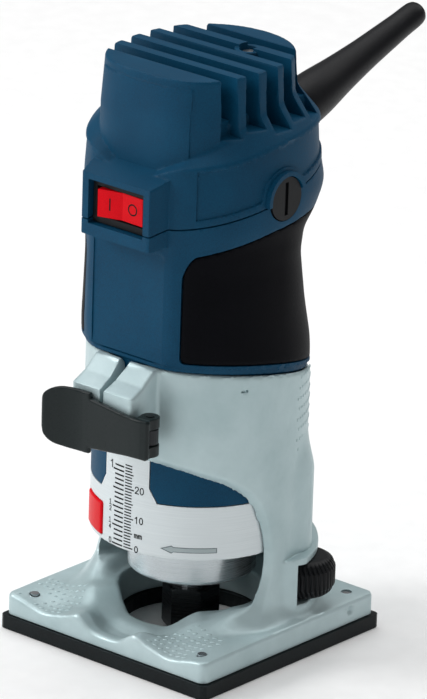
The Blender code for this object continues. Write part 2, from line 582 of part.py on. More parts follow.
# ------------------------------------------------------------- switch
switch_hole = box("cut_switch_hole", (-11.8, 11.8), (-60, -22), (151.2, 166.3))
cut(cover, switch_hole)
cut(housing, switch_hole)
switch = box("switch_body", (-11.5, 11.5), (-41.2, -24.0), (151.6, 165.9), "black_plastic")
cut(switch, box("cut_switch_well", (-9.9, 9.9), (-60, -31.5), (153.9, 164.1)))
tilt = math.radians(ROCK)
face = [(-8.8, -6.1), (0.0, -4.6), (8.8, -6.1), (8.8, -2.0), (3.0, 2.0), (-3.0, 2.0), (-8.8, -2.0)]
face = [(x * math.cos(tilt) - y * math.sin(tilt), ROCKER_PIVOT_Y + x * math.sin(tilt) + y * math.cos(tilt))
        for x, y in face]
prism("switch_rocker", face, "Z", 154.3, 163.7, "red", at=(0, ROCKER_PIVOT_Y, SWITCH_Z))

# ------------------------------------------------------------- drive train
turned("armature_shaft", [(0, 181.0), (3.9, 181.0), (3.9, 171.0), (5.0, 170.6), (5.0, 60.0), (5.9, 59.6), (5.9, 26.4),
                          (NECK_R, 26.0), (NECK_R, 7.0), (5.5, 7.0), (5.5, 16.0), (0, 16.0)], "steel", segments=24)
turned("cooling_fan", [(5.3, 76.0), (5.3, 66.0), (28.6, 66.0), (28.6, 68.0), (12.0, 69.5), (9.0, 76.0)][::-1], "black_plastic",
       segments=28, closed=True)
turned("rotor_core", [(5.3, 132.0), (5.3, 96.0), (15.0, 96.0), (15.0, 132.0)][::-1], "laminated_steel", segments=24, closed=True)
turned("commutator", [(5.3, 168.5), (5.3, 153.5), (10.4, 153.5), (10.4, 168.5)][::-1], "copper", segments=20, closed=True)
turned("upper_bearing", [(4.0, 179.5), (4.0, 173.0), (10.9, 173.0), (10.9, 179.5)][::-1], "steel", segments=24, closed=True)
turned("bearing_boot", [(11.2, 183.0), (11.2, 172.6), (13.6, 172.6), (13.6, 183.0)][::-1], "rubber", segments=24, closed=True)
turned("stator_core", [(16.2, 134.0), (16.2, 94.0), (26.0, 94.0), (26.0, 134.0)][::-1], "laminated_steel", segments=28, closed=True)
turned("field_coil_upper", [(17.5, 141.0), (17.5, 134.3), (24.5, 134.3), (24.5, 141.0)][::-1], "copper", segments=24, closed=True)
turned("field_coil_lower", [(17.5, 93.7), (17.5, 87.0), (24.5, 87.0), (24.5, 93.7)][::-1], "copper", segments=24, closed=True)

turned("collet", [(COLLET_BORE_R, 14.0), (COLLET_BORE_R, 1.8), (5.2, 1.8), (5.2, 14.0)][::-1], "steel", segments=24, closed=True)
nut_r = NUT_AF / 2 / math.cos(math.radians(30))
collet_nut = rod("collet_nut", nut_r, (0, 0, NUT_Z0), (0, 0, NUT_Z1), "black_steel", segments=6)
boolean(collet_nut, turned("shape_nut", [(0, NUT_Z1 + 1), (8.6, NUT_Z1 + 1), (8.6, NUT_Z1), (10.4, NUT_Z1 - 1.2), (10.4, NUT_Z0 + 1.2),
                                         (8.6, NUT_Z0), (8.6, NUT_Z0 - 1), (0, NUT_Z0 - 1)], segments=36), "INTERSECT")
cut(collet_nut, turned("cut_nut_thread", [(0, 20), (NECK_R + GAP, 20), (NECK_R + GAP, 6.6), (5.5, 5.2), (5.5, -2), (0, -2)],
                       segments=24))

# ------------------------------------------------------------- mains lead entry
guard_tilt = (rise - math.pi / 2, 0.0, 0.0)
guard = turned("cord_guard", [(0, GUARD_LENGTH), (2.9, GUARD_LENGTH), (4.2, GUARD_LENGTH - 0.9), (4.5, GUARD_LENGTH - 3),
                              (4.55, GUARD_LENGTH - 9), (5.5, 50.0), (6.7, 36.0), (8.2, 24.0), (8.7, 15.0), (8.0, 9.0),
                              (8.0, 0.0), (0, 0.0)], "rubber", at=GUARD_ROOT, segments=22, tilt=guard_tilt)
cut(guard, rod("cut_guard_mouth", 2.3, guard_root + guard_axis * (GUARD_LENGTH - 3.0),
               guard_root + guard_axis * (GUARD_LENGTH + 5), segments=16))
box("cord_clamp", (-7.0, 7.0), (24.0, 26.8), (166.0, 171.6), "black_plastic")

# the screw that holds the cover sits on a round pad between the fins
SCREW_AT = (6.2, 13.9)
join(cover, rod("add_screw_pad", 4.9, (*SCREW_AT, 187.0), (*SCREW_AT, 201.8), segments=28))
cut(cover, rod("cut_cover_screw", 3.3, (*SCREW_AT, 198.0), (*SCREW_AT, 210), segments=20),
    rod("cut_cover_thread", 1.7, (*SCREW_AT, 186.0), (*SCREW_AT, 210), segments=16))
turned("cover_screw", [(0, 200.8), (2.4, 200.8), (2.9, 200.2), (2.9, 198.3), (1.4, 198.3), (1.4, 186.4), (0, 186.4)],
       "steel", at=(*SCREW_AT, 0), segments=20)
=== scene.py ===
import math

import bmesh
import bpy
import numpy as np
from mathutils import Matrix, Vector


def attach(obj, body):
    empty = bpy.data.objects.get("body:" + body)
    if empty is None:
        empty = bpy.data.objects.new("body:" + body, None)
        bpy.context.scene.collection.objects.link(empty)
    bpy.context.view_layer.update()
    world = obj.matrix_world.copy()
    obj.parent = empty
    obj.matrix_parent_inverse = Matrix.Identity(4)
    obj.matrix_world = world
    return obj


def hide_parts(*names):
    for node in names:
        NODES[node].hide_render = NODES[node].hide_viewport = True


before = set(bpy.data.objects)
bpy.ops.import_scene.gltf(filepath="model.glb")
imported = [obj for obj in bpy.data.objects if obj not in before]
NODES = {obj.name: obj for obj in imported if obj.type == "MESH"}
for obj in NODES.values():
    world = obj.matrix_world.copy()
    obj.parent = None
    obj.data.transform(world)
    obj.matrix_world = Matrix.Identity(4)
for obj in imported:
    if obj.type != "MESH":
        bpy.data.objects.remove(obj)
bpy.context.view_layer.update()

# Everything below is written in millimetres with the spindle axis at x = 0, y = 0
# and the sole at z = 0. PLACE turns that into the row frame.
MM = 0.001
AXIS_Y = -28.44
PLACE = Matrix.Translation((0, AXIS_Y * MM, 0)) @ Matrix.Scale(MM, 4)


# ---------------------------------------------------------------- materials
class Nodes:
    """A small helper for building node trees."""

    def __init__(self, name):
        self.mat = bpy.data.materials.new(name)
        self.mat.use_nodes = True
        self.tree = self.mat.node_tree
        self.tree.nodes.clear()
        self.out = self.tree.nodes.new("ShaderNodeOutputMaterial")
        self.bsdf = self.tree.nodes.new("ShaderNodeBsdfPrincipled")
        self.link(self.bsdf, "BSDF", self.out, "Surface")
        self.coord = self.tree.nodes.new("ShaderNodeTexCoord")

    def link(self, a, out, b, into):
        self.tree.links.new(a.outputs[out], b.inputs[into])

    def node(self, kind, **values):
        n = self.tree.nodes.new(kind)
        for k, v in values.items():
            setattr(n, k, v)
        return n

    def noise(self, scale, detail=2.0, rough=0.5, vector=None):
        n = self.node("ShaderNodeTexNoise")
        n.inputs["Scale"].default_value = scale
        n.inputs["Detail"].default_value = detail
        n.inputs["Roughness"].default_value = rough
        if vector is None:
            self.link(self.coord, "Object", n, "Vector")
        else:
            self.tree.links.new(vector, n.inputs["Vector"])
        return n

    def voronoi(self, scale):
        n = self.node("ShaderNodeTexVoronoi")
        n.inputs["Scale"].default_value = scale
        self.link(self.coord, "Object", n, "Vector")
        return n

    def ramp(self, source, out, stops):
        n = self.node("ShaderNodeValToRGB")
        e = n.color_ramp.elements
        while len(e) < len(stops):
            e.new(0.5)
        for i, (p, c) in enumerate(stops):
            e[i].position = p
            e[i].color = (*c, 1) if len(c) == 3 else c
        self.link(source, out, n, "Fac")
        return n

    def spread(self, source, out, lo, hi, a=0.3, b=0.7):
        n = self.node("ShaderNodeMapRange")
        n.inputs["From Min"].default_value = a
        n.inputs["From Max"].default_value = b
        n.inputs["To Min"].default_value = lo
        n.inputs["To Max"].default_value = hi
        self.link(source, out, n, "Value")
        return n

    def bump(self, source, out, strength, distance, previous=None):
        n = self.node("ShaderNodeBump")
        n.inputs["Strength"].default_value = strength
        n.inputs["Distance"].default_value = distance
        self.link(source, out, n, "Height")
        if previous is not None:
            self.link(previous, "Normal", n, "Normal")
        return n


def srgb(r, g, b):
    return tuple(((c / 255) / 12.92) if c / 255 < 0.04045 else (((c / 255) + 0.055) / 1.055) ** 2.4 for c in (r, g, b))


def stretched(n, sx, sy, sz):
    m = n.node("ShaderNodeMapping")
    m.inputs["Scale"].default_value = (sx, sy, sz)
    n.link(n.coord, "Object", m, "Vector")
    return m.outputs["Vector"]


def moulded(name, dark, light, rough=(0.42, 0.56), grain=2600, bump=0.35, spec=0.4, worn=None):
    """Spark-eroded moulded plastic: fine grain, faint mottling."""
    n = Nodes(name)
    big = n.noise(55, 3)
    fine = n.noise(grain, 2)
    col = n.ramp(big, "Fac", [(0.3, dark), (0.72, light)])
    fleck = n.ramp(fine, "Fac", [(0.35, tuple(c * 0.88 for c in dark)), (0.66, tuple(min(1, c * 1.12) for c in light))])
    mix = n.node("ShaderNodeMix", data_type="RGBA")
    mix.inputs["Factor"].default_value = 0.45
    n.tree.links.new(col.outputs["Color"], mix.inputs["A"])
    n.tree.links.new(fleck.outputs["Color"], mix.inputs["B"])
    n.tree.links.new(mix.outputs["Result"], n.bsdf.inputs["Base Color"])
    r = n.spread(fine, "Fac", *rough)
    n.link(r, "Result", n.bsdf, "Roughness")
    b = n.bump(fine, "Fac", bump, 0.00012)
    b2 = n.bump(n.noise(400, 2), "Fac", 0.12, 0.0002, b)
    n.link(b2, "Normal", n.bsdf, "Normal")
    n.bsdf.inputs["Specular IOR Level"].default_value = spec
    return n.mat


def cast_metal(name, dark, light, metallic=0.55, rough=(0.34, 0.5), grain=900, bump=0.3):
    """Die-cast alloy with a shot-blasted, lightly lacquered skin."""
    n = Nodes(name)
    big = n.noise(38, 4, 0.6)
    fine = n.noise(grain, 3, 0.6)
    col = n.ramp(big, "Fac", [(0.3, dark), (0.7, light)])
    n.link(col, "Color", n.bsdf, "Base Color")
    r = n.spread(fine, "Fac", *rough)
    n.link(r, "Result", n.bsdf, "Roughness")
    b = n.bump(fine, "Fac", bump, 0.0001)
    b2 = n.bump(n.noise(120, 2), "Fac", 0.08, 0.0005, b)
    n.link(b2, "Normal", n.bsdf, "Normal")
    n.bsdf.inputs["Metallic"].default_value = metallic
    n.bsdf.inputs["Specular IOR Level"].default_value = 0.5
    return n.mat


def turned_metal(name, dark, light, rough=(0.2, 0.34), metallic=1.0, axis="Z", pitch=7000):
    """Machined metal: fine rings round the axis."""
    n = Nodes(name)
    scale = {"Z": (40, 40, pitch), "X": (pitch, 40, 40), "Y": (40, pitch, 40)}[axis]
    lines = n.noise(6.0, 3, 0.6, stretched(n, *[s / 6 for s in scale]))
    col = n.ramp(lines, "Fac", [(0.1, dark), (0.9, light)])
    n.link(col, "Color", n.bsdf, "Base Color")
    r = n.spread(lines, "Fac", *rough)
    n.link(r, "Result", n.bsdf, "Roughness")
    b = n.bump(lines, "Fac", 0.12, 0.00001)
    n.link(b, "Normal", n.bsdf, "Normal")
    n.bsdf.inputs["Metallic"].default_value = metallic
    return n.mat


def layered(name, dark, light, pitch=2400):
    """Stacked sheet-metal core."""
    n = Nodes(name)
    wave = n.node("ShaderNodeTexWave", wave_type="BANDS", bands_direction="Z")
    wave.inputs["Scale"].default_value = pitch / 6.283
    wave.inputs["Distortion"].default_value = 0.4
    n.link(n.coord, "Object", wave, "Vector")
    col = n.ramp(wave, "Fac", [(0.2, dark), (0.7, light)])
    n.link(col, "Color", n.bsdf, "Base Color")
    b = n.bump(wave, "Fac", 0.4, 0.00005)
    n.link(b, "Normal", n.bsdf, "Normal")
    r = n.spread(n.noise(600), "Fac", 0.35, 0.5)
    n.link(r, "Result", n.bsdf, "Roughness")
    n.bsdf.inputs["Metallic"].default_value = 0.9
    return n.mat


BLUE_D, BLUE_L = srgb(0, 56, 84), srgb(4, 68, 98)
M = {
    "blue": moulded("blue_moulding", BLUE_D, BLUE_L, rough=(0.46, 0.6), grain=2400, bump=0.4, spec=0.14),
    "blue_smooth": moulded("blue_barrel", srgb(0, 56, 84), srgb(6, 68, 98), rough=(0.36, 0.46), grain=1500, bump=0.15, spec=0.14),
    "rubber": moulded("grip_rubber", srgb(5, 6, 10), srgb(9, 10, 15), rough=(0.5, 0.6), grain=1900, bump=0.35, spec=0.05),
    "guard": moulded("guard_rubber", srgb(5, 6, 10), srgb(12, 13, 18), rough=(0.38, 0.5), grain=1300, bump=0.2, spec=0.2),
    "black": moulded("black_moulding", srgb(13, 15, 17), srgb(24, 26, 29), rough=(0.36, 0.5), grain=1700, bump=0.2, spec=0.16),
    "sole": moulded("sole_plate", srgb(12, 17, 19), srgb(22, 29, 31), rough=(0.34, 0.48), grain=1100, bump=0.2, spec=0.14),
    "lever": moulded("lever_paint", srgb(20, 29, 30), srgb(25, 34, 35), rough=(0.27, 0.29), grain=6000, bump=0.02, spec=0.22),
    "red": moulded("red_moulding", srgb(206, 0, 16), srgb(220, 2, 22), rough=(0.3, 0.36), grain=4000, bump=0.02, spec=0.08),
    "print": moulded("printed_marks", srgb(10, 12, 14), srgb(20, 22, 24), rough=(0.5, 0.6), grain=900, bump=0.05, spec=0.1),
    "arrow": turned_metal("arrow_fill", srgb(150, 163, 166), srgb(176, 188, 190), rough=(0.4, 0.5), metallic=0.4),
    "arrow_edge": moulded("arrow_edge", srgb(96, 108, 112), srgb(118, 130, 134), rough=(0.4, 0.5), grain=900, bump=0.05),
    "nut": turned_metal("oiled_steel", srgb(16, 18, 20), srgb(34, 37, 39), rough=(0.22, 0.36), metallic=0.5),
    "cast": cast_metal("cast_alloy", srgb(168, 190, 193), srgb(190, 209, 212), metallic=0.35, rough=(0.36, 0.5)),
    "cast_rough": cast_metal("cast_alloy_inside", srgb(150, 162, 164), srgb(184, 194, 196), rough=(0.42, 0.6), bump=0.5, grain=600),
    "machined": turned_metal("machined_alloy", srgb(196, 205, 208), srgb(222, 229, 231), rough=(0.34, 0.42), metallic=0.45),
    "flange": turned_metal("turned_flange", srgb(170, 178, 182), srgb(208, 214, 217), rough=(0.24, 0.34), metallic=0.8),
    "steel": turned_metal("bright_steel", srgb(150, 153, 156), srgb(205, 208, 211)),
    "dark_steel": turned_metal("blackened_steel", srgb(26, 28, 30), srgb(52, 55, 58), rough=(0.28, 0.42), metallic=0.7),
    "shaft": turned_metal("ground_steel", srgb(120, 124, 128), srgb(178, 182, 186), rough=(0.16, 0.28)),
    "bolt": turned_metal("plated_steel", srgb(150, 150, 146), srgb(205, 204, 198), axis="X"),
    "copper": turned_metal("copper_bars", srgb(150, 84, 52), srgb(205, 126, 86)),
    "winding": turned_metal("copper_winding", srgb(120, 58, 30), srgb(196, 104, 60), pitch=1500),
    "brass": turned_metal("brass_sheet", srgb(160, 128, 62), srgb(208, 176, 104)),
    "carbon": moulded("carbon_block", srgb(24, 24, 25), srgb(46, 46, 48), rough=(0.5, 0.68), grain=2600, bump=0.4),
    "core": layered("laminated_core", srgb(84, 86, 90), srgb(150, 153, 158)),
}


# ---------------------------------------------------------------- building pieces
def piece(name, mesh, material, body, stands_for=(), sharp=35, placed=False):
    obj = bpy.data.objects.new(name, mesh)
    bpy.context.scene.collection.objects.link(obj)
    if not placed:
        mesh.transform(PLACE)
    for p in mesh.polygons:
        p.use_smooth = True
    if sharp is not None:
        mesh.set_sharp_from_angle(angle=math.radians(sharp))
    for m in material if isinstance(material, (list, tuple)) else [material]:
        mesh.materials.append(M[m])
    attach(obj, body)
    if stands_for:
        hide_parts(*stands_for)
    return obj


def mesh_of(name, verts, faces):
    mesh = bpy.data.meshes.new(name)
    mesh.from_pydata([tuple(v) for v in verts], [], [tuple(f) for f in faces])
    mesh.validate()
    return mesh


def bm_mesh(name, bm, normals=True):
    if normals:
        bmesh.ops.recalc_face_normals(bm, faces=bm.faces[:])
    mesh = bpy.data.meshes.new(name)
    bm.to_mesh(mesh)
    bm.free()
    return mesh


def bevelled(obj, width, segments=3, angle=30):
    """Rounds the edges of a piece, and applies it."""
    mod = obj.modifiers.new("edge", "BEVEL")
    mod.width = width * MM
    mod.segments = segments
    mod.limit_method = "ANGLE"
    mod.angle_limit = math.radians(angle)
    mod.harden_normals = False
    dg = bpy.context.evaluated_depsgraph_get()
    new = bpy.data.meshes.new_from_object(obj.evaluated_get(dg))
    obj.modifiers.clear()
    obj.data = new
    for p in new.polygons:
        p.use_smooth = True
    new.set_sharp_from_angle(angle=math.radians(50))
    return obj


def smooth_profile(points, radius, steps=4):
    """Rounds the corners of an open (r, z) profile."""
    out = [points[0]]
    for i in range(1, len(points) - 1):
        a, b, c = (np.array(points[i + k], float) for k in (-1, 0, 1))
        la, lc = np.linalg.norm(a - b), np.linalg.norm(c - b)
        t = min(radius, la * 0.45, lc * 0.45)
        if t < 1e-4:
            out.append(tuple(b))
            continue
        p, q = b + (a - b) / la * t, b + (c - b) / lc * t
        for k in range(steps + 1):
            s = k / steps
            out.append(tuple((1 - s) ** 2 * p + 2 * s * (1 - s) * b + s * s * q))
    out.append(points[-1])
    return out


def lathe(name, profile, segments=96, closed=False, matrix=None):
    """Turns an (r, z) profile round z."""
    prof = list(profile)
    n = len(prof)
    verts, index = [], []
    for r, z in prof:
        if r < 1e-6:
            index.append([len(verts)] * segments)
            verts.append((0, 0, z))
        else:
            row = []
            for k in range(segments):
                a = 2 * math.pi * k / segments
                row.append(len(verts))
                verts.append((r * math.cos(a), r * math.sin(a), z))
            index.append(row)
    faces = []
    for i in range(n if closed else n - 1):
        a, b = index[i], index[(i + 1) % n]
        for k in range(segments):
            f = [a[k], a[(k + 1) % segments], b[(k + 1) % segments], b[k]]
            g = []
            for v in f:
                if v not in g:
                    g.append(v)
            if len(g) > 2:
                faces.append(g)
    mesh = mesh_of(name, verts, faces)
    bm = bmesh.new()
    bm.from_mesh(mesh)
    bmesh.ops.recalc_face_normals(bm, faces=bm.faces[:])
    bm.to_mesh(mesh)
    bm.free()
    if matrix is not None:
        mesh.transform(matrix)
    return mesh


def on_circle(r, angle, z=0.0):
    """A point at an angle from the front, positive towards +x."""
    a = math.radians(angle)
    return Vector((r * math.sin(a), -r * math.cos(a), z))


# ---------------------------------------------------------------- signed fields
def smin(a, b, k):
    h = np.clip(0.5 + 0.5 * (b - a) / k, 0, 1)
    return b + (a - b) * h - k * h * (1 - h)


def smax(a, b, k):
    return -smin(-a, -b, k)


def step(x, a, b):
    t = np.clip((x - a) / (b - a), 0, 1)
    return t * t * (3 - 2 * t)


def poly_field(u, v, points):
    """Signed distance to a closed polygon."""
    d = np.full(np.broadcast(u, v).shape, 1e9)
    s = np.ones(d.shape, bool)
    n = len(points)
    for i in range(n):
        ax, ay = points[i]
        bx, by = points[i - 1]
        ex, ey = bx - ax, by - ay
        wx, wy = u - ax, v - ay
        t = np.clip((wx * ex + wy * ey) / (ex * ex + ey * ey), 0, 1)
        dx, dy = wx - ex * t, wy - ey * t
        d = np.minimum(d, dx * dx + dy * dy)
        c1, c2 = v >= ay, v < by
        c3 = ex * wy > ey * wx
        flip = (c1 & c2 & c3) | (~c1 & ~c2 & ~c3)
        s = np.where(flip, ~s, s)
    return np.where(s, 1, -1) * np.sqrt(d)


def box_field(u, v, hu, hv, r=0.0):
    qx, qy = np.abs(u) - hu + r, np.abs(v) - hv + r
    return np.hypot(np.maximum(qx, 0), np.maximum(qy, 0)) + np.minimum(np.maximum(qx, qy), 0) - r


def dual_mesh(name, field, lo, hi, h, soft=0.05):
    """Dual contouring of field(x, y, z) < 0 on a regular grid: keeps both sharp edges and smooth fillets."""
    lo, hi = np.array(lo, float), np.array(hi, float)
    n = np.ceil((hi - lo) / h).astype(int) + 1
    axes = [lo[i] + h * np.arange(n[i]) for i in range(3)]
    F = np.empty(n, np.float32)
    slab = max(1, int(2_000_000 / (n[1] * n[2])))
    for i in range(0, n[0], slab):
        F[i:i + slab] = field(axes[0][i:i + slab, None, None], axes[1][None, :, None], axes[2][None, None, :])
    inside = F < 0
    cells_n = n - 1
    cell_ids, quads, pts, signs = [], [], [], []
    for ax in range(3):
        a = [slice(None)] * 3
        b = [slice(None)] * 3
        a[ax], b[ax] = slice(0, -1), slice(1, None)
        change = inside[tuple(a)] != inside[tuple(b)]
        u, v = (ax + 1) % 3, (ax + 2) % 3
        keep = [slice(None)] * 3
        mask = np.zeros_like(change)
        keep[u], keep[v] = slice(1, -1), slice(1, -1)
        mask[tuple(keep)] = True
        e = np.argwhere(change & mask)
        if not len(e):
            continue
        e2 = e.copy()
        e2[:, ax] += 1
        f0, f1 = F[tuple(e.T)].astype(float), F[tuple(e2.T)].astype(float)
        p0 = lo + e * h
        t0, t1 = np.zeros(len(e)), np.ones(len(e))
        g0, g1 = f0.copy(), f1.copy()
        for _ in range(3):
            t = t0 + (t1 - t0) * np.clip(g0 / (g0 - g1), 0.05, 0.95)
            p = p0.copy()
            p[:, ax] += t * h
            g = field(p[:, 0], p[:, 1], p[:, 2])
            same = (g < 0) == (g0 < 0)
            t0, g0 = np.where(same, t, t0), np.where(same, g, g0)
            t1, g1 = np.where(same, t1, t), np.where(same, g1, g)
        t = t0 + (t1 - t0) * np.clip(g0 / (g0 - g1), 0, 1)
        p = p0.copy()
        p[:, ax] += t * h
        c = []
        for du, dv in ((-1, -1), (0, -1), (0, 0), (-1, 0)):
            q = e.copy()
            q[:, u] += du
            q[:, v] += dv
            c.append((q[:, 0] * cells_n[1] + q[:, 1]) * cells_n[2] + q[:, 2])
        c = np.stack(c, 1)
        out = f0 < 0
        quads.append(np.where(out[:, None], c, c[:, ::-1]))
        pts.append(p)
    p = np.concatenate(pts)
    quads = np.concatenate(quads)
    eps = 0.04
    g = np.zeros_like(p)
    for ax in range(3):
        d = np.zeros(3)
        d[ax] = eps
        a, b = p + d, p - d
        g[:, ax] = field(a[:, 0], a[:, 1], a[:, 2]) - field(b[:, 0], b[:, 1], b[:, 2])
    g /= np.maximum(np.linalg.norm(g, axis=1, keepdims=True), 1e-12)
    ids, inverse = np.unique(quads.ravel(), return_inverse=True)
    m = len(ids)
    owner = inverse
    P = np.repeat(p, 4, axis=0)
    G = np.repeat(g, 4, axis=0)
    cnt = np.bincount(owner, minlength=m).astype(float)
    mass = np.stack([np.bincount(owner, P[:, i], m) for i in range(3)], 1) / cnt[:, None]
    D = ((P - mass[owner]) * G).sum(1)
    A = np.zeros((m, 3, 3))
    B = np.zeros((m, 3))
    for i in range(3):
        B[:, i] = np.bincount(owner, G[:, i] * D, m)
        for j in range(i, 3):
            A[:, i, j] = A[:, j, i] = np.bincount(owner, G[:, i] * G[:, j], m)
    A += np.eye(3)[None] * (soft * cnt)[:, None, None]
    X = mass + np.linalg.solve(A, B[:, :, None])[:, :, 0]
    cz = ids % cells_n[2]
    cy = (ids // cells_n[2]) % cells_n[1]
    cx = ids // (cells_n[2] * cells_n[1])
    base = lo + np.stack([cx, cy, cz], 1) * h
    X = np.clip(X, base - 0.1 * h, base + 1.1 * h)
    faces = inverse.reshape(-1, 4)
    mesh = bpy.data.meshes.new(name)
    mesh.vertices.add(m)
    mesh.vertices.foreach_set("co", X.astype(np.float32).ravel())
    mesh.loops.add(len(faces) * 4)
    mesh.loops.foreach_set("vertex_index", faces.astype(np.int32).ravel())
    mesh.polygons.add(len(faces))
    mesh.polygons.foreach_set("loop_start", (np.arange(len(faces)) * 4).astype(np.int32))
    mesh.polygons.foreach_set("loop_total", np.full(len(faces), 4, np.int32))
    mesh.update(calc_edges=True)
    print(name, m, "vertices", len(faces), "quads")
    return mesh


# ---------------------------------------------------------------- shared shapes
def rim_z(y):
    return 100.0 - 0.193 * y - 0.00175 * y * y


FORM = np.array((
    (70, 36.9, 37.3, 36.9, 2.0, 2.0), (80, 36.9, 37.3, 36.9, 2.0, 2.0), (101, 36.9, 38.2, 36.9, 2.05, 2.0),
    (106, 36.6, 39.4, 36.6, 2.15, 2.0), (113, 35.9, 40.0, 34.8, 2.2, 2.0), (120, 35.4, 40.0, 32.9, 2.2, 2.0),
    (137, 34.5, 40.0, 29.6, 2.2, 2.0), (146, 35.0, 40.0, 30.6, 2.2, 2.05), (152, 36.6, 40.0, 35.2, 2.2, 2.15),
    (160, 37.0, 40.0, 37.6, 2.2, 2.45), (168.6, 36.2, 39.2, 36.2, 2.3, 2.35), (178, 31.6, 35.8, 33.4, 2.6, 2.2),
    (186, 28.6, 33.6, 31.2, 2.9, 2.1), (203, 27.6, 32.4, 29.6, 2.9, 2.1), (215, 27.0, 31.8, 29.0, 2.9, 2.1)))


def smooth_table(z, column, width):
    """FORM's column at height z, with its corners eased over a few millimetres."""
    total = 0.0
    for off, w in ((-1.0, 0.15), (-0.5, 0.22), (0.0, 0.26), (0.5, 0.22), (1.0, 0.15)):
        total = total + w * np.interp(z + off * width, FORM[:, 0], FORM[:, column])
    return total


def form_field(x, y, z, ease=2.6):
    """Radial distance to the housing outline, negative inside."""
    a, df, db, nf, nb = (smooth_table(z, i, ease) for i in range(1, 6))
    front = y < 0
    n = np.where(front, nf, nb)
    d = np.where(front, df, db)
    g = ((np.abs(x) / a) ** n + (np.abs(y) / d) ** n) ** (1 / n)
    g = np.maximum(g, 1e-4)
    r = np.hypot(x, y)
    return r * (1 - 1 / g)


# ---------------------------------------------------------------- base casting
# window edge on the bore, as (degrees from the front, height)
ARCH = [(0, 72.0), (12, 71.8), (23, 71.0), (36, 69.2), (47.2, 66.9), (56.2, 64.9), (64.1, 61.9), (69.2, 59.4), (74.6, 55.0),
        (78.6, 49.7), (81.2, 44.5), (82.6, 39.5), (82.7, 34.6), (81.9, 29.9), (79.6, 25.4), (76.0, 20.5), (71.0, 16.0), (71, 4)]
ARCH = [(a * 0.616, z) for a, z in ARCH] + [(-a * 0.616, z) for a, z in ARCH[:0:-1]]


def foot_top(x, y):
    ax = np.abs(x)
    r = np.hypot(x, y)
    th = np.degrees(np.arctan2(x, -y))
    ath = np.abs(th)
    fwd = -y
    lip = 9.3 + 6.4 * step(np.abs(th - 3.0), 15, 46)
    lip = lip + step(ath, 48, 70) * 3.0 * step(r, 24.5, 31)
    h = 12.6 + (lip - 12.6) * (1 - step(r, 32.5, 41.5))
    h = h - 2.8 * np.exp(-((ax - 27.5) / 9.5) ** 2) * step(fwd, 24, 41)
    h = h + 1.0 * np.exp(-((ax - 13.0) / 2.8) ** 2) * step(fwd, 27, 42)
    h = h - 3.7 * np.exp(-(ax / 8.8) ** 4) * step(fwd, 27, 39)
    return h


RIB = (28.3, 15.4)
WHEEL = (33.0, 18.0)


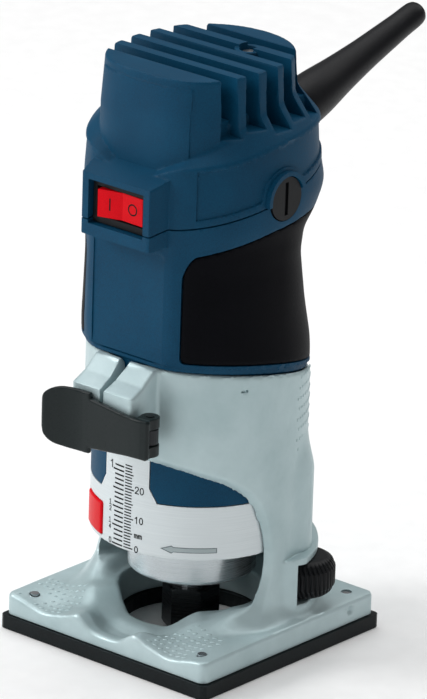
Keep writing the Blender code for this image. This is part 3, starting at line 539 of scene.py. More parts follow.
def base_field(x, y, z):
    r = np.hypot(x, y)
    ang = np.degrees(np.arctan2(x, -y))
    # foot
    q = box_field(x, y, 43.9, 43.9, 3.0)
    foot = smax(q, (z - foot_top(x, y)) * 0.9, 1.6)
    foot = smax(foot, 24.0 - r, 1.2)
    # tower wall
    rib_r = 8.0 - 2.6 * step(z, 61, 72)
    rib = np.hypot(x - RIB[0], y - RIB[1]) - rib_r
    rib = smax(rib, z - 72.5, 6.0)
    outer = smin(r - 37.2, rib, 4.0)
    outer_flare = outer - 3.4 * np.exp(-np.maximum(z - 12.0, 0) / 3.2)
    slope = -0.193 - 0.0035 * y
    top = (z - rim_z(y)) / np.sqrt(1 + slope * slope)
    wall = smax(outer_flare, top, 1.3)
    wall = np.maximum(wall, 8.0 - z)
    # clamp boss
    prof = poly_field(y, z, [(-31, 104.4), (-37.0, 104.6), (-42.4, 100.1), (-48.0, 97.4), (-48.0, 74.0), (-44.0, 72.4), (-31, 71.2)])
    boss = smax(prof, np.abs(x) - 13.0, 1.4)
    wall = smin(wall, boss, 1.2)
    # hood over the thumb wheel
    hood_r = 37.0 + 5.0 * step(ang, 91, 107)
    hood = smax((r - hood_r) * 0.9, (z - 33.4 - 0.02 * (ang - 110)), 0.7)
    hood = np.maximum(hood, np.maximum((90 - ang) * 0.6, (ang - 150) * 0.6))
    wall = smin(wall, hood, 0.5)
    # window with a chamfered edge
    win = poly_field(ang * 0.616, z, ARCH)
    win = (win - np.maximum(r - 35.5, 0) * 1.3) * 0.64
    wall = smax(wall, -win, 0.35)
    # bore
    bore = r - 34.9
    bore = np.minimum(bore, (r - 34.9 - 1.0 - (z - rim_z(y))) * 0.7071)
    wall = smax(wall, -bore, 0.3)
    body = smin(wall, foot, 4.0)
    body = np.maximum(body, 5.1 - z)
    # wheel pocket
    wr = np.hypot(x - WHEEL[0], y - WHEEL[1])
    pocket = np.maximum(wr - 11.9, np.maximum(16.8 - z, z - 31.0))
    body = smax(body, -pocket, 0.6)
    body = np.maximum(body, -np.maximum(wr - 1.5, np.maximum(11.0 - z, z - 61.5)))
    # slot for the height carriage
    d = math.radians(180) - math.atan2(WHEEL[0], WHEEL[1])
    rad = x * math.sin(d) - y * math.cos(d)
    tan = x * math.cos(d) + y * math.sin(d)
    slot = np.maximum(np.maximum(np.abs(tan) - 3.2, np.abs(z - 50) - 10), np.maximum(rad - 39.2, 30 - rad))
    body = np.maximum(body, -slot)
    # split and bolt hole
    split = np.maximum(np.maximum(np.abs(x) - 0.8 - 0.16 * np.maximum(z - 97.0, 0), y + 30), 60 - z)
    body = smax(body, -split, 0.4)
    bolt = np.hypot(y + 43.8, z - 85.4) - 2.3
    body = np.maximum(body, -np.maximum(bolt, np.abs(x) - 20))
    # way for the lock button
    way = np.maximum(np.maximum(r - 35.8, 33.0 - r), np.maximum(np.abs(ang + 31.5) - 12.5, 60 - z) * 0.6)
    body = np.maximum(body, -way)
    # corner screw holes
    for sx in (-1, 1):
        for sy in (-1, 1):
            c = np.hypot(x - sx * 37, y - sy * 37)
            body = np.maximum(body, -(c - 1.8))
    # small witness mark above the scale side, and a dimple at the back corner
    mark = np.maximum(np.maximum(np.abs(ang - 65.2) - 1.9, np.abs(z - 97.4) - 0.45), 36.4 - r)
    body = np.maximum(body, -mark)
    dimple = np.sqrt((x - 44.6) ** 2 + (y - 31.0) ** 2 + (z - 9.4) ** 2) - 1.7
    body = smax(body, -dimple, 0.5)
    return body


piece("base_casting_skin", dual_mesh("base_casting_skin", base_field, (-46, -50, 3), (46, 46, 107.5), 0.8),
      "cast", "base", ["base_casting"], sharp=38)


# ---------------------------------------------------------------- motor housing
def grip_low_z(y):
    return rim_z(y) + 4.0


def grip_top(ang):
    return np.where(ang < 40, 141.0 + 4.0 * np.sin(np.radians(90 * np.clip((ang - 32) / 8.0, 0, 1))),
                    np.where(ang < 78, 145.0 + 5.4 * (ang - 40) / 38.0, 150.4 + 0.08 * np.minimum(ang - 78, 30)))


def grip_area(x, y, z, grow=0.0):
    """Signed distance, along the wall, to the grip's outline."""
    ang = np.abs(np.degrees(np.arctan2(x, -y)))
    arc = np.minimum(ang - 32.0, 140.0 - ang) * 0.61
    low = z - grip_low_z(y)
    high = grip_top(ang) - z
    a = smin(smin(arc, high, 5.0), low, 2.0)
    return -(a + grow)


BOSS = [(-28, 148.3), (-43.5, 147.2), (-43.5, 168.4), (-34.0, 171.6), (-28, 173.0)]
TONGUE = [(-17, 97.0), (-17, 61.5), (-22, 56.5), (-22, 50), (20, 50), (20, 56.5), (15, 61.5), (15, 97.0)]
TONGUE = [(a * 0.604, z) for a, z in TONGUE]


def boss_side(x, y):
    return (np.abs(x) - 14.6 - 0.26 * (y + 43.5)) * 0.97


def tongue_area(ang, z):
    """Signed distance, along the barrel, to the bright band with its scale tongue."""
    return np.minimum(poly_field(ang * 0.604, z, TONGUE), z - 56.5)


def housing_field(x, y, z):
    r = np.hypot(x, y)
    form = form_field(x, y, z)
    form = smax(form, -y - 36.5, 1.6)
    # front panel, let in a little
    panel = box_field(x, z - 126.0, 15.2, 18.6, 1.5)
    form = smax(form, -np.maximum(panel, y + 35.9), 0.2)
    # step above the casting rim
    low = (z - (rim_z(y) + 0.6))
    form = smax(form, -np.maximum(low - 1.9, -form - 0.8), 0.3)
    body = smax(form, -low * 0.97, 0.4)
    boss = smax(poly_field(y, z, BOSS), boss_side(x, y), 0.6)
    body = smin(body, boss, 0.3)
    seam = (z - (162.0 + 0.22 * y - 0.22)) * 0.97
    body = smax(body, seam, 0.3)
    ang = np.degrees(np.arctan2(x, -y))
    barrel = np.maximum(np.maximum(r - 34.55, 56.8 - z), z - 112)
    barrel = np.maximum(barrel, 0.25 - tongue_area(ang, z))
    body = np.minimum(body, barrel)
    inner = np.where(z < 104, 31.2, np.where(z < 108, 31.2 - (z - 104) * 1.2, np.where(z < 149, 26.4, np.where(z < 155, 26.4 + (z - 149) * 0.6, 30.0))))
    body = np.maximum(body, inner - r)
    seat = np.maximum(np.maximum(32.9 - r, np.abs(ang + 1.0) * 0.6 - 16.6 * 0.6), z - 97.3)
    body = np.maximum(body, -seat)
    g = grip_area(x, y, z, 0.3)
    body = smax(body, -np.maximum(g, -(form + 1.9)), 0.3)
    bore = np.maximum(np.hypot(y + 1.5, z - 161.3) - 7.65, 22 - np.abs(x))
    body = np.maximum(body, -bore)
    hole = np.maximum(np.maximum(np.abs(x) - 11.8, y + 22), np.abs(z - 158.75) - 7.55)
    body = np.maximum(body, -hole)
    body = np.maximum(body, -guard_way(x, y, z))
    return body


RISE = math.radians(17.6)


def guard_way(x, y, z):
    u = (y - 33.0) * math.cos(RISE) + (z - 168.3) * math.sin(RISE)
    v = -(y - 33.0) * math.sin(RISE) + (z - 168.3) * math.cos(RISE)
    return np.maximum(np.hypot(x, v) - 8.35, np.abs(u - 7.5) - 19.5)


piece("motor_housing_skin", dual_mesh("motor_housing_skin", housing_field, (-40, -46, 55), (40, 41, 173), 0.8),
      "blue", "motor", ["motor_housing"], sharp=35)


# ---------------------------------------------------------------- grips
def grip_field(x, y, z):
    form = form_field(x, y, z)
    form = smax(form, -y - 36.5, 1.6)
    g = grip_area(x, y, z)
    shell = np.maximum(form - 0.0, -(form + 1.6))
    body = smax(shell, g, 0.9)
    return body


for tag, sx in (("right", 1), ("left", -1)):
    lo = (4, -36, 94) if sx > 0 else (-40, -36, 94)
    hi = (40, 40, 154) if sx > 0 else (-4, 40, 154)
    piece(f"grip_skin_{tag}", dual_mesh(f"grip_skin_{tag}", grip_field, lo, hi, 0.8),
          "rubber", "motor", [f"grip_{tag}"], sharp=40)


# ---------------------------------------------------------------- top cover
FIN_SLOTS = (-18.5, -9.2, 0.2, 9.4, 19.0)
SCREW_AT = (6.2, 13.9)


EDGE_A = (0, 15, 22, 30, 38, 55, 74, 94, 113, 140, 180)
EDGE_Z = (170.0, 170.8, 173.0, 174.8, 175.4, 176.6, 179.2, 181.0, 181.8, 182.0, 182.0)


def cover_field(x, y, z):
    r = np.hypot(x, y)
    ax = np.abs(x)
    ang = np.degrees(np.arctan2(ax, -y))
    # outer wall, up to the crisp edge of the shoulder
    wall = form_field(x, y, np.minimum(z, 166.0), 1.8) + 0.06 * np.maximum(z - 166.0, 0)
    wall = smax(wall, -y - 36.5, 1.6)
    edge = np.interp(ang, EDGE_A, EDGE_Z)
    rake = 0.35 + 0.95 * step(ang, 20, 60)
    shoulder = (z - edge + rake * np.minimum(wall, 0)) / np.sqrt(1 + rake * rake)
    # side panel let in between the seam and that edge
    side = np.maximum(np.maximum(z - edge + 1.3, 164.7 + 0.22 * y - z), np.maximum((37.5 - ang) * 0.6, (ang - 150) * 0.6))
    side = smax(side, -(np.hypot(y + 1.5, z - 161.3) - 10.4), 1.5)
    wall_in = smax(wall, -np.maximum(side, -(wall + 0.7)), 0.25)
    lower = smax(wall_in, shoulder, 0.5)
    # fin block
    upper = form_field(x, y, np.maximum(z, 187.0), 0.5)
    upper = smax(upper, -y - 33.3, 1.0)
    upper = np.maximum(upper, 160 - z)
    form = smin(lower, upper, 0.9)
    body = smax(form, z - 203.0, 1.0)
    # front panel stands a little proud, and ends before the first fin
    plate = np.maximum(np.maximum(upper - 0.5, ax - 19.0), np.maximum(z - 200.2, y + 12))
    plate = np.maximum(plate, 165 - z)
    body = smin(body, plate, 0.3)
    seam = (162.0 + 0.22 * y + 0.22 - z) * 0.97
    ring = np.maximum(np.hypot(y + 1.5, z - 161.3) - 9.2, smax(ax - 37.6, 30 - ax, 0.3))
    body = np.minimum(body, ring)
    boss = smax(poly_field(y, z, BOSS), boss_side(x, y), 0.6)
    body = smin(body, boss, 0.3)
    body = smax(body, seam, 0.3)
    # cooling slots between the fins
    for i, y0 in enumerate(FIN_SLOTS):
        low = 183.0 if i % 2 == 0 else 184.6
        floor_z = np.where(ax < 23, 188.0, low)
        s = np.maximum(np.abs(y - y0) - 3.0 + 0.03 * (z - 195), floor_z - z)
        body = smax(body, -s, 0.5)
    pad = np.maximum(np.hypot(x - SCREW_AT[0], y - SCREW_AT[1]) - 4.9, np.maximum(z - 201.8, 187 - z))
    body = smin(body, pad, 0.4)
    well = np.maximum(np.hypot(x - SCREW_AT[0], y - SCREW_AT[1]) - 3.3, 198.0 - z)
    body = smax(body, -well, 0.3)
    # inside
    inner = np.where(z < 168, 30.4, 30.4 - (z - 168) * 0.425)
    body = np.maximum(body, -np.maximum(r - inner, z - 176))
    body = np.maximum(body, -np.maximum(r - 19.0, z - 184))
    bore = np.maximum(np.hypot(y + 1.5, z - 161.3) - 7.65, 22 - ax)
    body = np.maximum(body, -bore)
    hole = np.maximum(np.maximum(ax - 11.8, y + 22), np.abs(z - 158.75) - 7.55)
    body = np.maximum(body, -hole)
    body = np.maximum(body, -guard_way(x, y, z))
    return body


piece("top_cover_skin", dual_mesh("top_cover_skin", cover_field, (-40, -46, 145), (40, 41, 205), 0.7),
      "blue", "motor", ["top_cover"], sharp=35)


# ---------------------------------------------------------------- bright band with its scale
BARREL = 34.6


def band_field(x, y, z):
    r = np.hypot(x, y)
    ang = np.degrees(np.arctan2(x, -y))
    area = tongue_area(ang, z)
    ring = np.maximum(30.8 - r, z - 56.5)
    flap = np.maximum(33.2 - r, poly_field(ang * 0.604, z, TONGUE))
    body = np.minimum(ring, flap)
    floor = np.maximum(17.8 - r, z - 41.7)
    body = np.minimum(body, floor)
    body = smax(body, r - BARREL, 0.25)
    body = smax(body, 37.7 - z, 0.6)
    a = math.radians(-31.0)
    out = x * math.sin(a) - y * math.cos(a)
    side = np.abs(x * math.cos(a) + y * math.sin(a))
    window = box_field(side, z - 45.0, 7.15, 6.05, 1.2)
    body = smax(body, -np.maximum(window, 28 - out), 0.25)
    return body


piece("band_skin", dual_mesh("band_skin", band_field, (-36, -36, 36), (36, 36, 98.5), 0.7),
      "machined", "motor", ["gear_end_casing"], sharp=35)

GLYPHS = {
    "0": [[(0.3 + 0.28 * math.sin(k * math.pi / 8), 0.5 + 0.5 * math.cos(k * math.pi / 8)) for k in range(17)]],
    "1": [[(0.08, 0.74), (0.36, 1), (0.36, 0)]],
    "2": [[(0.02, 0.74), (0.12, 0.95), (0.3, 1), (0.5, 0.94), (0.58, 0.74), (0.5, 0.54), (0.02, 0), (0.6, 0)]],
    "4": [[(0.44, 0), (0.44, 1), (0.0, 0.3), (0.62, 0.3)]],
    "m": [[(0, 0), (0, 0.66)], [(0, 0.5), (0.1, 0.64), (0.24, 0.62), (0.3, 0.45), (0.3, 0)],
          [(0.3, 0.5), (0.4, 0.64), (0.54, 0.62), (0.6, 0.45), (0.6, 0)]],
}


class Wrap:
    """Flat shapes laid on a cylinder about the spindle axis."""

    def __init__(self, radius):
        self.r, self.verts, self.faces = radius, [], []

    def point(self, s, z):
        a = s / self.r
        self.verts.append((self.r * math.sin(a), -self.r * math.cos(a), z))
        return len(self.verts) - 1

    def quad(self, corners, parts=1):
        (a, b, c, d) = [np.array(p, float) for p in corners]
        for k in range(parts):
            t0, t1 = k / parts, (k + 1) / parts
            ps = [a + (b - a) * t0, a + (b - a) * t1, d + (c - d) * t1, d + (c - d) * t0]
            self.faces.append([self.point(*p) for p in ps])

    def line(self, points, width):
        for (a, b) in zip(points, points[1:]):
            a, b = np.array(a, float), np.array(b, float)
            d = (b - a) / max(np.linalg.norm(b - a), 1e-9)
            n = np.array((-d[1], d[0])) * width / 2
            a2, b2 = a - d * width * 0.35, b + d * width * 0.35
            self.quad([a2 - n, b2 - n, b2 + n, a2 + n], 1 + int(abs(b[0] - a[0]) / 0.5))

    def text(self, text, angle, z, height, width):
        s = math.radians(angle) * self.r
        for ch in text:
            for stroke in GLYPHS[ch]:
                self.line([(s + px * height, z + pz * height) for px, pz in stroke], width)
            s += height * 0.84

    def mesh(self, name):
        return mesh_of(name, self.verts, self.faces)


marks = Wrap(BARREL + 0.06)
RAD = math.radians(1) * BARREL
for i in range(0, 29):
    end = 5.4 if i % 10 == 0 else 4.9 if i % 5 == 0 else 3.9
    zz = 38.7 + i * 1.035
    marks.line([(-0.4 * RAD, zz), (end * RAD, zz)], 0.42)
for i in range(0, 18):
    start = -9.6 if i % 4 == 0 else -8.2
    zz = 38.7 + i * 1.5875 * 1.035
    marks.line([(start * RAD, zz), (-1.9 * RAD, zz)], 0.55)
marks.text("0", 7.0, 37.9, 2.1, 0.34)
marks.text("10", 6.6, 48.2, 2.2, 0.34)
marks.text("20", 6.4, 58.7, 2.3, 0.34)
marks.text("mm", 6.8, 43.0, 1.9, 0.34)
marks.text("0", -12.4, 38.3, 1.8, 0.32)
marks.text("1", -12.6, 65.0, 2.6, 0.36)
for top, z0 in (("1", 51.4), ("1", 45.0)):
    marks.text(top, -12.9, z0 + 0.7, 1.4, 0.28)
    marks.line([(-13.0 * RAD, z0 + 0.35), (-11.0 * RAD, z0 + 0.35)], 0.25)
marks.text("2", -12.7, 49.6, 1.5, 0.28)
marks.text("4", -12.7, 43.2, 1.5, 0.28)
piece("scale_marks", marks.mesh("scale_marks"), "print", "motor", sharp=None)

arrow_out, arrow_in = Wrap(BARREL + 0.05), Wrap(BARREL + 0.08)
tip, neck, tail = 22.7 * RAD, 30.0 * RAD, 54.1 * RAD
arrow_out.quad([(neck, 40.35), (tail, 40.35), (tail, 42.2), (neck, 42.2)], 14)
arrow_out.quad([(tip, 41.25), (neck - 0.6, 39.8), (neck - 0.6, 42.7), (tip, 41.3)], 4)
arrow_out.quad([(neck - 0.6, 39.8), (neck, 40.35), (neck, 42.2), (neck - 0.6, 42.7)], 1)
arrow_in.quad([(neck, 40.62), (tail - 0.3, 40.62), (tail - 0.3, 41.93), (neck, 41.93)], 14)
arrow_in.quad([(tip + 0.9, 41.25), (neck - 0.55, 40.25), (neck - 0.55, 42.3), (tip + 0.9, 41.3)], 4)
arrow_in.quad([(neck - 0.55, 40.25), (neck, 40.62), (neck, 41.93), (neck - 0.55, 42.3)], 1)
piece("turning_arrow_edge", arrow_out.mesh("turning_arrow_edge"), "arrow_edge", "motor", sharp=None)
piece("turning_arrow", arrow_in.mesh("turning_arrow"), "arrow", "motor", sharp=None)


# ---------------------------------------------------------------- spindle end
def flange_field(x, y, z):
    r = np.hypot(x, y)
    body = smax(r - 21.5, 23.4 - z, 1.0)
    body = smax(body, -np.maximum(np.abs(r - 13.5) - 4.2, z - 24.6), 0.4)
    body = np.maximum(body, z - 37.4)
    neck = np.maximum(r - 17.5, z - 43.0)
    body = np.minimum(body, np.maximum(neck, 30 - z))
    ang = np.degrees(np.arctan2(x, -y))
    nick = box_field((ang - 40.0) * 0.375, z - 36.3, 3.4, 1.5, 1.2)
    body = smax(body, -np.maximum(nick, 20.7 - r), 0.2)
    body = np.maximum(body, np.where(z < 26.6, 6.95 - r, 14.2 - r))
    return body


piece("bearing_flange_skin", dual_mesh("bearing_flange_skin", flange_field, (-22.5, -22.5, 22.5), (22.5, 22.5, 44), 0.6),
      "flange", "motor", ["bearing_flange"], sharp=35)


def nut_field(x, y, z):
    r = np.hypot(x, y)
    flats = np.maximum(np.abs(x * math.cos(NUT_TURN) + y * math.sin(NUT_TURN)),
                       np.maximum(np.abs(x * math.cos(NUT_TURN + 1.0472) + y * math.sin(NUT_TURN + 1.0472)),
                                  np.abs(x * math.cos(NUT_TURN + 2.0944) + y * math.sin(NUT_TURN + 2.0944)))) - 8.5
    body = smax(flats, r - 9.75, 0.12)
    top = (r - 9.0 + (z - 16.5) * 1.7) / 1.97
    low = (r - 9.0 + (1.5 - z) * 1.7) / 1.97
    body = smax(smax(body, top, 0.15), low, 0.15)
    body = np.maximum(np.maximum(body, z - 16.5), 1.5 - z)
    thread = np.where(z > 6.6, 6.95 - r, 5.6 - r)
    return np.maximum(body, thread)


NUT_TURN = 0.0
piece("collet_nut_skin", dual_mesh("collet_nut_skin", nut_field, (-10.6, -10.6, 0.9), (10.6, 10.6, 17.2), 0.4),
      "nut", "nut", ["collet_nut"], sharp=30)


# ---------------------------------------------------------------- lock button
def button_field(x, y, z):
    r = np.hypot(x, y)
    a = math.radians(-31.0)
    out = x * math.sin(a) - y * math.cos(a)
    side = np.abs(x * math.cos(a) + y * math.sin(a))
    body = box_field(side, z - 45.0, 6.9, 5.8, 1.0)
    body = smax(smax(body, r - 35.2, 0.9), 32.0 - out, 0.3)
    stem = np.maximum(np.hypot(side, z - 47.0) - 2.2, np.maximum(20.6 - out, out - 33.0))
    return np.minimum(body, stem)


piece("lock_button_skin", dual_mesh("lock_button_skin", button_field, (-26, -36, 38.4), (-3, -14, 51.6), 0.4),
      "red", "lock_button", ["spindle_lock_button"], sharp=40)


# ---------------------------------------------------------------- clamp lever
def chaikin(points, times=2, closed=False):
    pts = [np.array(p, float) for p in points]
    for _ in range(times):
        out = [] if closed else [pts[0]]
        pairs = list(zip(pts, pts[1:] + ([pts[0]] if closed else [])))
        for a, b in pairs:
            out += [a * 0.75 + b * 0.25, a * 0.25 + b * 0.75]
        if not closed:
            out.append(pts[-1])
        pts = out
    return [tuple(p) for p in pts]


def line_field(u, v, points):
    d = np.full(np.broadcast(u, v).shape, 1e9)
    for (ax, ay), (bx, by) in zip(points, points[1:]):
        ex, ey = bx - ax, by - ay
        t = np.clip(((u - ax) * ex + (v - ay) * ey) / (ex * ex + ey * ey), 0, 1)
        d = np.minimum(d, (u - ax - ex * t) ** 2 + (v - ay - ey * t) ** 2)
    return np.sqrt(d)


LEVER_LINE = chaikin([(20.2, -48.6), (17.5, -49.35), (-4.0, -49.5), (-8.2, -49.95), (-12.0, -51.3),
                      (-15.5, -53.3), (-18.2, -55.1)], 2)
LEVER_SHAPE = ([(24, 79.0), (13, 78.6), (-2.9, 77.0), (-3.2, 75.1)]
               + chaikin([(-4.6, 75.0), (-11.0, 75.2), (-17.5, 77.2), (-20.4, 86.0), (-19.6, 92.5), (-16.0, 96.4), (-9.5, 96.3), (-4.6, 96.2)], 3)
               + [(-3.2, 96.1), (-2.9, 94.3), (13, 92.4), (24, 92.0)])
PIVOT = (17.5, -43.8)


def lever_field(x, y, z):
    blade = line_field(x, y, LEVER_LINE) - 1.05
    shape = poly_field(x, z, LEVER_SHAPE)
    body = smax(blade, shape, 0.8)
    pin = np.hypot(x - PIVOT[0], y - PIVOT[1])
    web = np.maximum(np.maximum(np.abs(x - PIVOT[0] - 0.15) - 2.75, y + 44.6), -49.2 - y)
    knuckle = smin(pin - 3.25, web, 0.8)
    gap = np.abs(z - 85.4)
    knuckle = smax(knuckle, np.maximum(gap - 6.7, 2.9 - gap), 0.4)
    body = smin(body, knuckle, 0.7)
    return np.maximum(body, 1.56 - pin)


piece("clamp_lever_skin", dual_mesh("clamp_lever_skin", lever_field, (-22.5, -58.4, 74), (22.6, -39.6, 97.4), 0.45),
      "lever", "lever", ["clamp_lever"], sharp=42)


# ---------------------------------------------------------------- thumb wheel
def wheel_mesh():
    prof = smooth_profile([(1.65, 30.6), (8.2, 30.6), (10.2, 29.4), (10.7, 27.9), (11.15, 27.2), (11.15, 21.0), (10.6, 20.3),
                           (10.2, 18.9), (8.6, 17.6), (1.65, 17.6)], 0.7, 3)
    prof = [p for p in prof]
    seg, teeth = 320, 40
    verts, faces = [], []
    for r, z in prof:
        for k in range(seg):
            a = 2 * math.pi * k / seg
            rr = r
            if r > 9.3:
                wave = abs(((k * teeth / seg + (z - 24.1) * 0.22) % 1.0) - 0.5) * 2
                rr = r - 0.75 * (1 - min(1.0, wave * 1.7)) * min(1.0, (r - 9.3) / 0.8)
            verts.append((33.0 + rr * math.cos(a), 18.0 + rr * math.sin(a), z))
    n = len(prof)
    for i in range(n):
        j = (i + 1) % n
        for k in range(seg):
            k2 = (k + 1) % seg
            faces.append((i * seg + k, i * seg + k2, j * seg + k2, j * seg + k))
    mesh = mesh_of("adjust_wheel_skin", verts, faces)
    bm = bmesh.new()
    bm.from_mesh(mesh)
    bmesh.ops.recalc_face_normals(bm, faces=bm.faces[:])
    bm.to_mesh(mesh)
    bm.free()
    return mesh


piece("adjust_wheel_skin", wheel_mesh(), "black", "adjuster", ["adjust_wheel"], sharp=28)

# ---------------------------------------------------------------- lead guard
guard_profile = ([(0.0, 77.0), (2.2, 77.0), (2.25, 79.5), (2.7, 80.0), (3.3, 79.7), (3.95, 78.9), (4.3, 77.6), (4.42, 76.0)]
                 + smooth_profile([(4.45, 74.5), (4.5, 70.0), (5.5, 50.0), (6.7, 36.0), (8.2, 24.0), (8.65, 15.0),
                                   (7.95, 9.0), (7.95, 0.0)], 5.0, 5) + [(0.0, 0.0)])
tilt = RISE - math.pi / 2
guard_at = Matrix.Translation((0.0, 33.0, 168.3)) @ Matrix.Rotation(tilt, 4, "X")
piece("cord_guard_skin", lathe("cord_guard_skin", guard_profile, 72, matrix=guard_at), "guard", "motor",
      ["cord_guard"], sharp=40)

# ---------------------------------------------------------------- rocker marks
ROCK = math.radians(7.0)


def rocker_point(x, out, z):
    face = -4.6 - 1.5 * abs(x) / 8.8 - out
    return (x * math.cos(ROCK) - face * math.sin(ROCK), -36.0 + x * math.sin(ROCK) + face * math.cos(ROCK), z)


verts, faces = [], []


def rocker_quad(corners):
    start = len(verts)
    verts.extend(rocker_point(x, 0.04, z) for x, z in corners)
    faces.append(tuple(range(start, start + 4)))


rocker_quad([(-4.75, 156.9), (-4.25, 156.9), (-4.25, 161.1), (-4.75, 161.1)])
for k in range(24):
    a0, a1 = 2 * math.pi * k / 24, 2 * math.pi * (k + 1) / 24
    rocker_quad([(4.4 + r * math.cos(a), 159.0 + r * math.sin(a)) for r, a in ((1.55, a0), (2.05, a0), (2.05, a1), (1.55, a1))])
piece("rocker_marks", mesh_of("rocker_marks", verts, faces), "print", "rocker", sharp=None)

# ---------------------------------------------------------------- raised texture on the casting
def domes(name, spots, radius, height, body="base"):
    """Low raised dots; each spot is (point, outward normal, stretch along a tangent)."""
    verts, faces = [], []
    for at, normal, stretch in spots:
        at, normal = Vector(at), Vector(normal).normalized()
        side = normal.cross(Vector((0, 0, 1)) if abs(normal.z) < 0.9 else Vector((1, 0, 0))).normalized()
        if stretch is not None:
            side = Vector(stretch).normalized()
            side = (side - normal * side.dot(normal)).normalized()
        other = normal.cross(side)
        long = 2.0 if stretch is not None else 1.0
        start = len(verts)
        verts.append(at + normal * height)
        rings = ((0.55, 0.78), (0.85, 0.35), (1.0, -0.6))
        for f, g in rings:
            for k in range(10):
                a = 2 * math.pi * k / 10
                verts.append(at + normal * height * g + side * radius * long * f * math.cos(a) + other * radius * f * math.sin(a))
        for k in range(10):
            k2 = (k + 1) % 10
            faces.append((start, start + 1 + k, start + 1 + k2))
            for i in range(len(rings) - 1):
                faces.append((start + 1 + i * 10 + k, start + 1 + (i + 1) * 10 + k, start + 1 + (i + 1) * 10 + k2, start + 1 + i * 10 + k2))
    mesh = mesh_of(name, verts, faces)
    bm = bmesh.new()
    bm.from_mesh(mesh)
    bmesh.ops.recalc_face_normals(bm, faces=bm.faces[:])
    bm.to_mesh(mesh)
    bm.free()
    return mesh


spots = []
for i in range(9):
    for j in range(8):
        th = 104.5 + 3.4 * j + (1.7 if i % 2 else 0)
        zz = 67.0 + 3.6 * i
        if (j - 3.5) ** 2 / 16 + (i - 4) ** 2 / 20 < 1.35:
            for sx in (1, -1):
                p = on_circle(37.15, sx * th, zz)
                spots.append((p, (p.x, p.y, 0), None))
piece("casting_dots", domes("casting_dots", spots, 0.72, 0.28), "cast", "base", sharp=60)

spots = []
for i in range(8):
    for j in range(7):
        for x0, x1, y0, y1 in ((-40.5, -21.0, -41.0, -25.0), (17.0, 36.0, -40.5, -25.0)):
            x = x0 + (x1 - x0) * (i + (0.5 if j % 2 else 0)) / 7.5
            y = y0 + (y1 - y0) * j / 6
            if x > x1 or math.hypot(abs(x) - 37, y + 37) < 4.6 or math.hypot(x, y) < 35:
                continue
            here = float(foot_top(np.float64(x), np.float64(y)))
            gx = float(foot_top(np.float64(x + 0.3), np.float64(y)) - foot_top(np.float64(x - 0.3), np.float64(y))) / 0.6
            gy = float(foot_top(np.float64(x), np.float64(y + 0.3)) - foot_top(np.float64(x), np.float64(y - 0.3))) / 0.6
            spots.append(((x, y, here - 0.05), (-gx, -gy, 1), (1.0, 0.7, 0)))
piece("foot_texture", domes("foot_texture", spots, 0.5, 0.3), "cast", "base", sharp=60)


# ---------------------------------------------------------------- CAD nodes kept, with finished materials
KEEP = {
    "sub_base": "sole", "sub_base_screw_1": "steel", "sub_base_screw_2": "steel", "sub_base_screw_3": "steel",
    "sub_base_screw_4": "steel", "clamp_bolt": "dark_steel", "clamp_nut": "bolt", "clamp_washer": "bolt",
    "lever_pin": "dark_steel", "clamp_lever": "lever", "adjust_wheel": "black", "adjust_screw": "steel",
    "adjust_carriage": "steel", "gear_end_casing": "machined", "bearing_flange": "machined",
    "lower_bearing": "steel", "bearing_retainer": "steel", "brush_cap_right": "black", "brush_cap_left": "black",
    "brush_holder_right": "brass", "brush_holder_left": "brass", "carbon_brush_right": "carbon",
    "carbon_brush_left": "carbon", "brush_spring_right": "steel", "brush_spring_left": "steel",
    "switch_body": "black", "upper_bearing": "steel", "bearing_boot": "rubber", "stator_core": "core",
    "field_coil_upper": "winding", "field_coil_lower": "winding", "cord_guard": "guard", "cord_clamp": "black",
    "armature_shaft": "shaft", "cooling_fan": "black", "rotor_core": "core", "commutator": "copper",
    "collet": "steel", "collet_nut": "dark_steel", "switch_rocker": "red", "spindle_lock_button": "red",
    "cover_screw": "steel", "cover_screw_1": "steel", "cover_screw_2": "steel",
}
for node, m in KEEP.items():
    if node in NODES:
        NODES[node].data.materials.clear()
        NODES[node].data.materials.append(M[m])


# ---------------------------------------------------------------- studio
def look(obj, target):
    obj.rotation_euler = (Vector(target) - obj.location).to_track_quat("-Z", "Y").to_euler()


def area(name, at, target, size, power, colour=(1, 1, 1), size_y=None):
    light = bpy.data.lights.new(name, "AREA")
    light.energy = power
    light.color = colour
    light.size = size
    if size_y:
        light.shape = "RECTANGLE"
        light.size_y = size_y
    obj = bpy.data.objects.new(name, light)
    bpy.context.scene.collection.objects.link(obj)
    obj.location = at
    look(obj, target)
    return obj


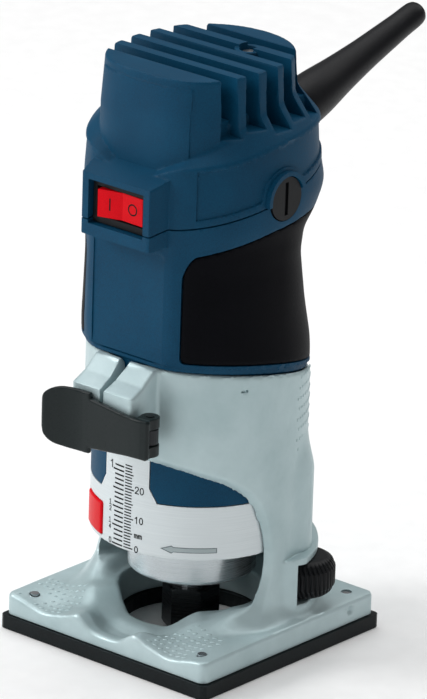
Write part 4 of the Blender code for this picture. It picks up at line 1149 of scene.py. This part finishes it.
scene = bpy.context.scene
AZ, EL, ROLL, DIST = math.radians(40.324), math.radians(20.209), math.radians(1.753), 2261.6
back = Vector((math.sin(AZ) * math.cos(EL), -math.cos(AZ) * math.cos(EL), math.sin(EL)))
right = Vector((math.cos(AZ), math.sin(AZ), 0))
up = back.cross(right)
c, s = math.cos(ROLL), math.sin(ROLL)
cam_right, cam_up = right * c + up * s, up * c - right * s
camera = bpy.data.cameras.new("camera")
camera.sensor_fit = "AUTO"
camera.sensor_width = 36
camera.lens = 6849.3 * 36 / 699
camera.shift_x = (213.5 - 198.78) / 699
camera.shift_y = (332.66 - 349.5) / 699
camera.clip_start, camera.clip_end = 0.1, 20
cam = bpy.data.objects.new("camera", camera)
scene.collection.objects.link(cam)
rot = Matrix((cam_right, cam_up, back)).transposed()
cam.matrix_world = Matrix.Translation((back * DIST + Vector((0, AXIS_Y, 105))) * MM) @ rot.to_4x4()
scene.camera = cam

bm = bmesh.new()
bmesh.ops.create_grid(bm, x_segments=40, y_segments=40, size=3.0)
floor_mesh = bm_mesh("floor", bm)
floor = bpy.data.objects.new("floor", floor_mesh)
scene.collection.objects.link(floor)
floor.location = (0, 0, -0.0002)
n = Nodes("floor_paper")
grain = n.noise(120, 3)
col = n.ramp(grain, "Fac", [(0.3, (0.93, 0.93, 0.93)), (0.7, (0.96, 0.96, 0.96))])
n.link(col, "Color", n.bsdf, "Base Color")
rr = n.spread(grain, "Fac", 0.6, 0.7)
n.link(rr, "Result", n.bsdf, "Roughness")
floor_mesh.materials.append(n.mat)

centre = Vector((0, AXIS_Y, 100)) * MM
area("key", centre + Vector((-0.95, -0.85, 0.75)), centre, 0.5, 10.5, (1.0, 1.0, 1.0))
area("front", centre + Vector((0.1, -1.3, 0.25)), centre, 0.5, 1.6, (0.96, 0.99, 1.0))
area("fill_right", centre + Vector((1.2, -0.1, 0.35)), centre, 0.5, 0.15, (0.96, 0.99, 1.0), 1.2)
area("rim_back", centre + Vector((0.2, 1.1, 0.9)), centre, 0.6, 3.0)
sun = bpy.data.lights.new("overhead", "SUN")
sun.energy = 1.7
sun.angle = math.radians(65)
overhead = bpy.data.objects.new("overhead", sun)
scene.collection.objects.link(overhead)
overhead.location = (-0.3, 0.1, 1.5)
look(overhead, (0.02, AXIS_Y * MM, 0.1))
world = bpy.data.worlds.new("studio")
world.use_nodes = True
world.node_tree.nodes["Background"].inputs["Color"].default_value = (1, 1, 1, 1)
world.node_tree.nodes["Background"].inputs["Strength"].default_value = 0.26
scene.world = world
scene.view_settings.view_transform = "Standard"
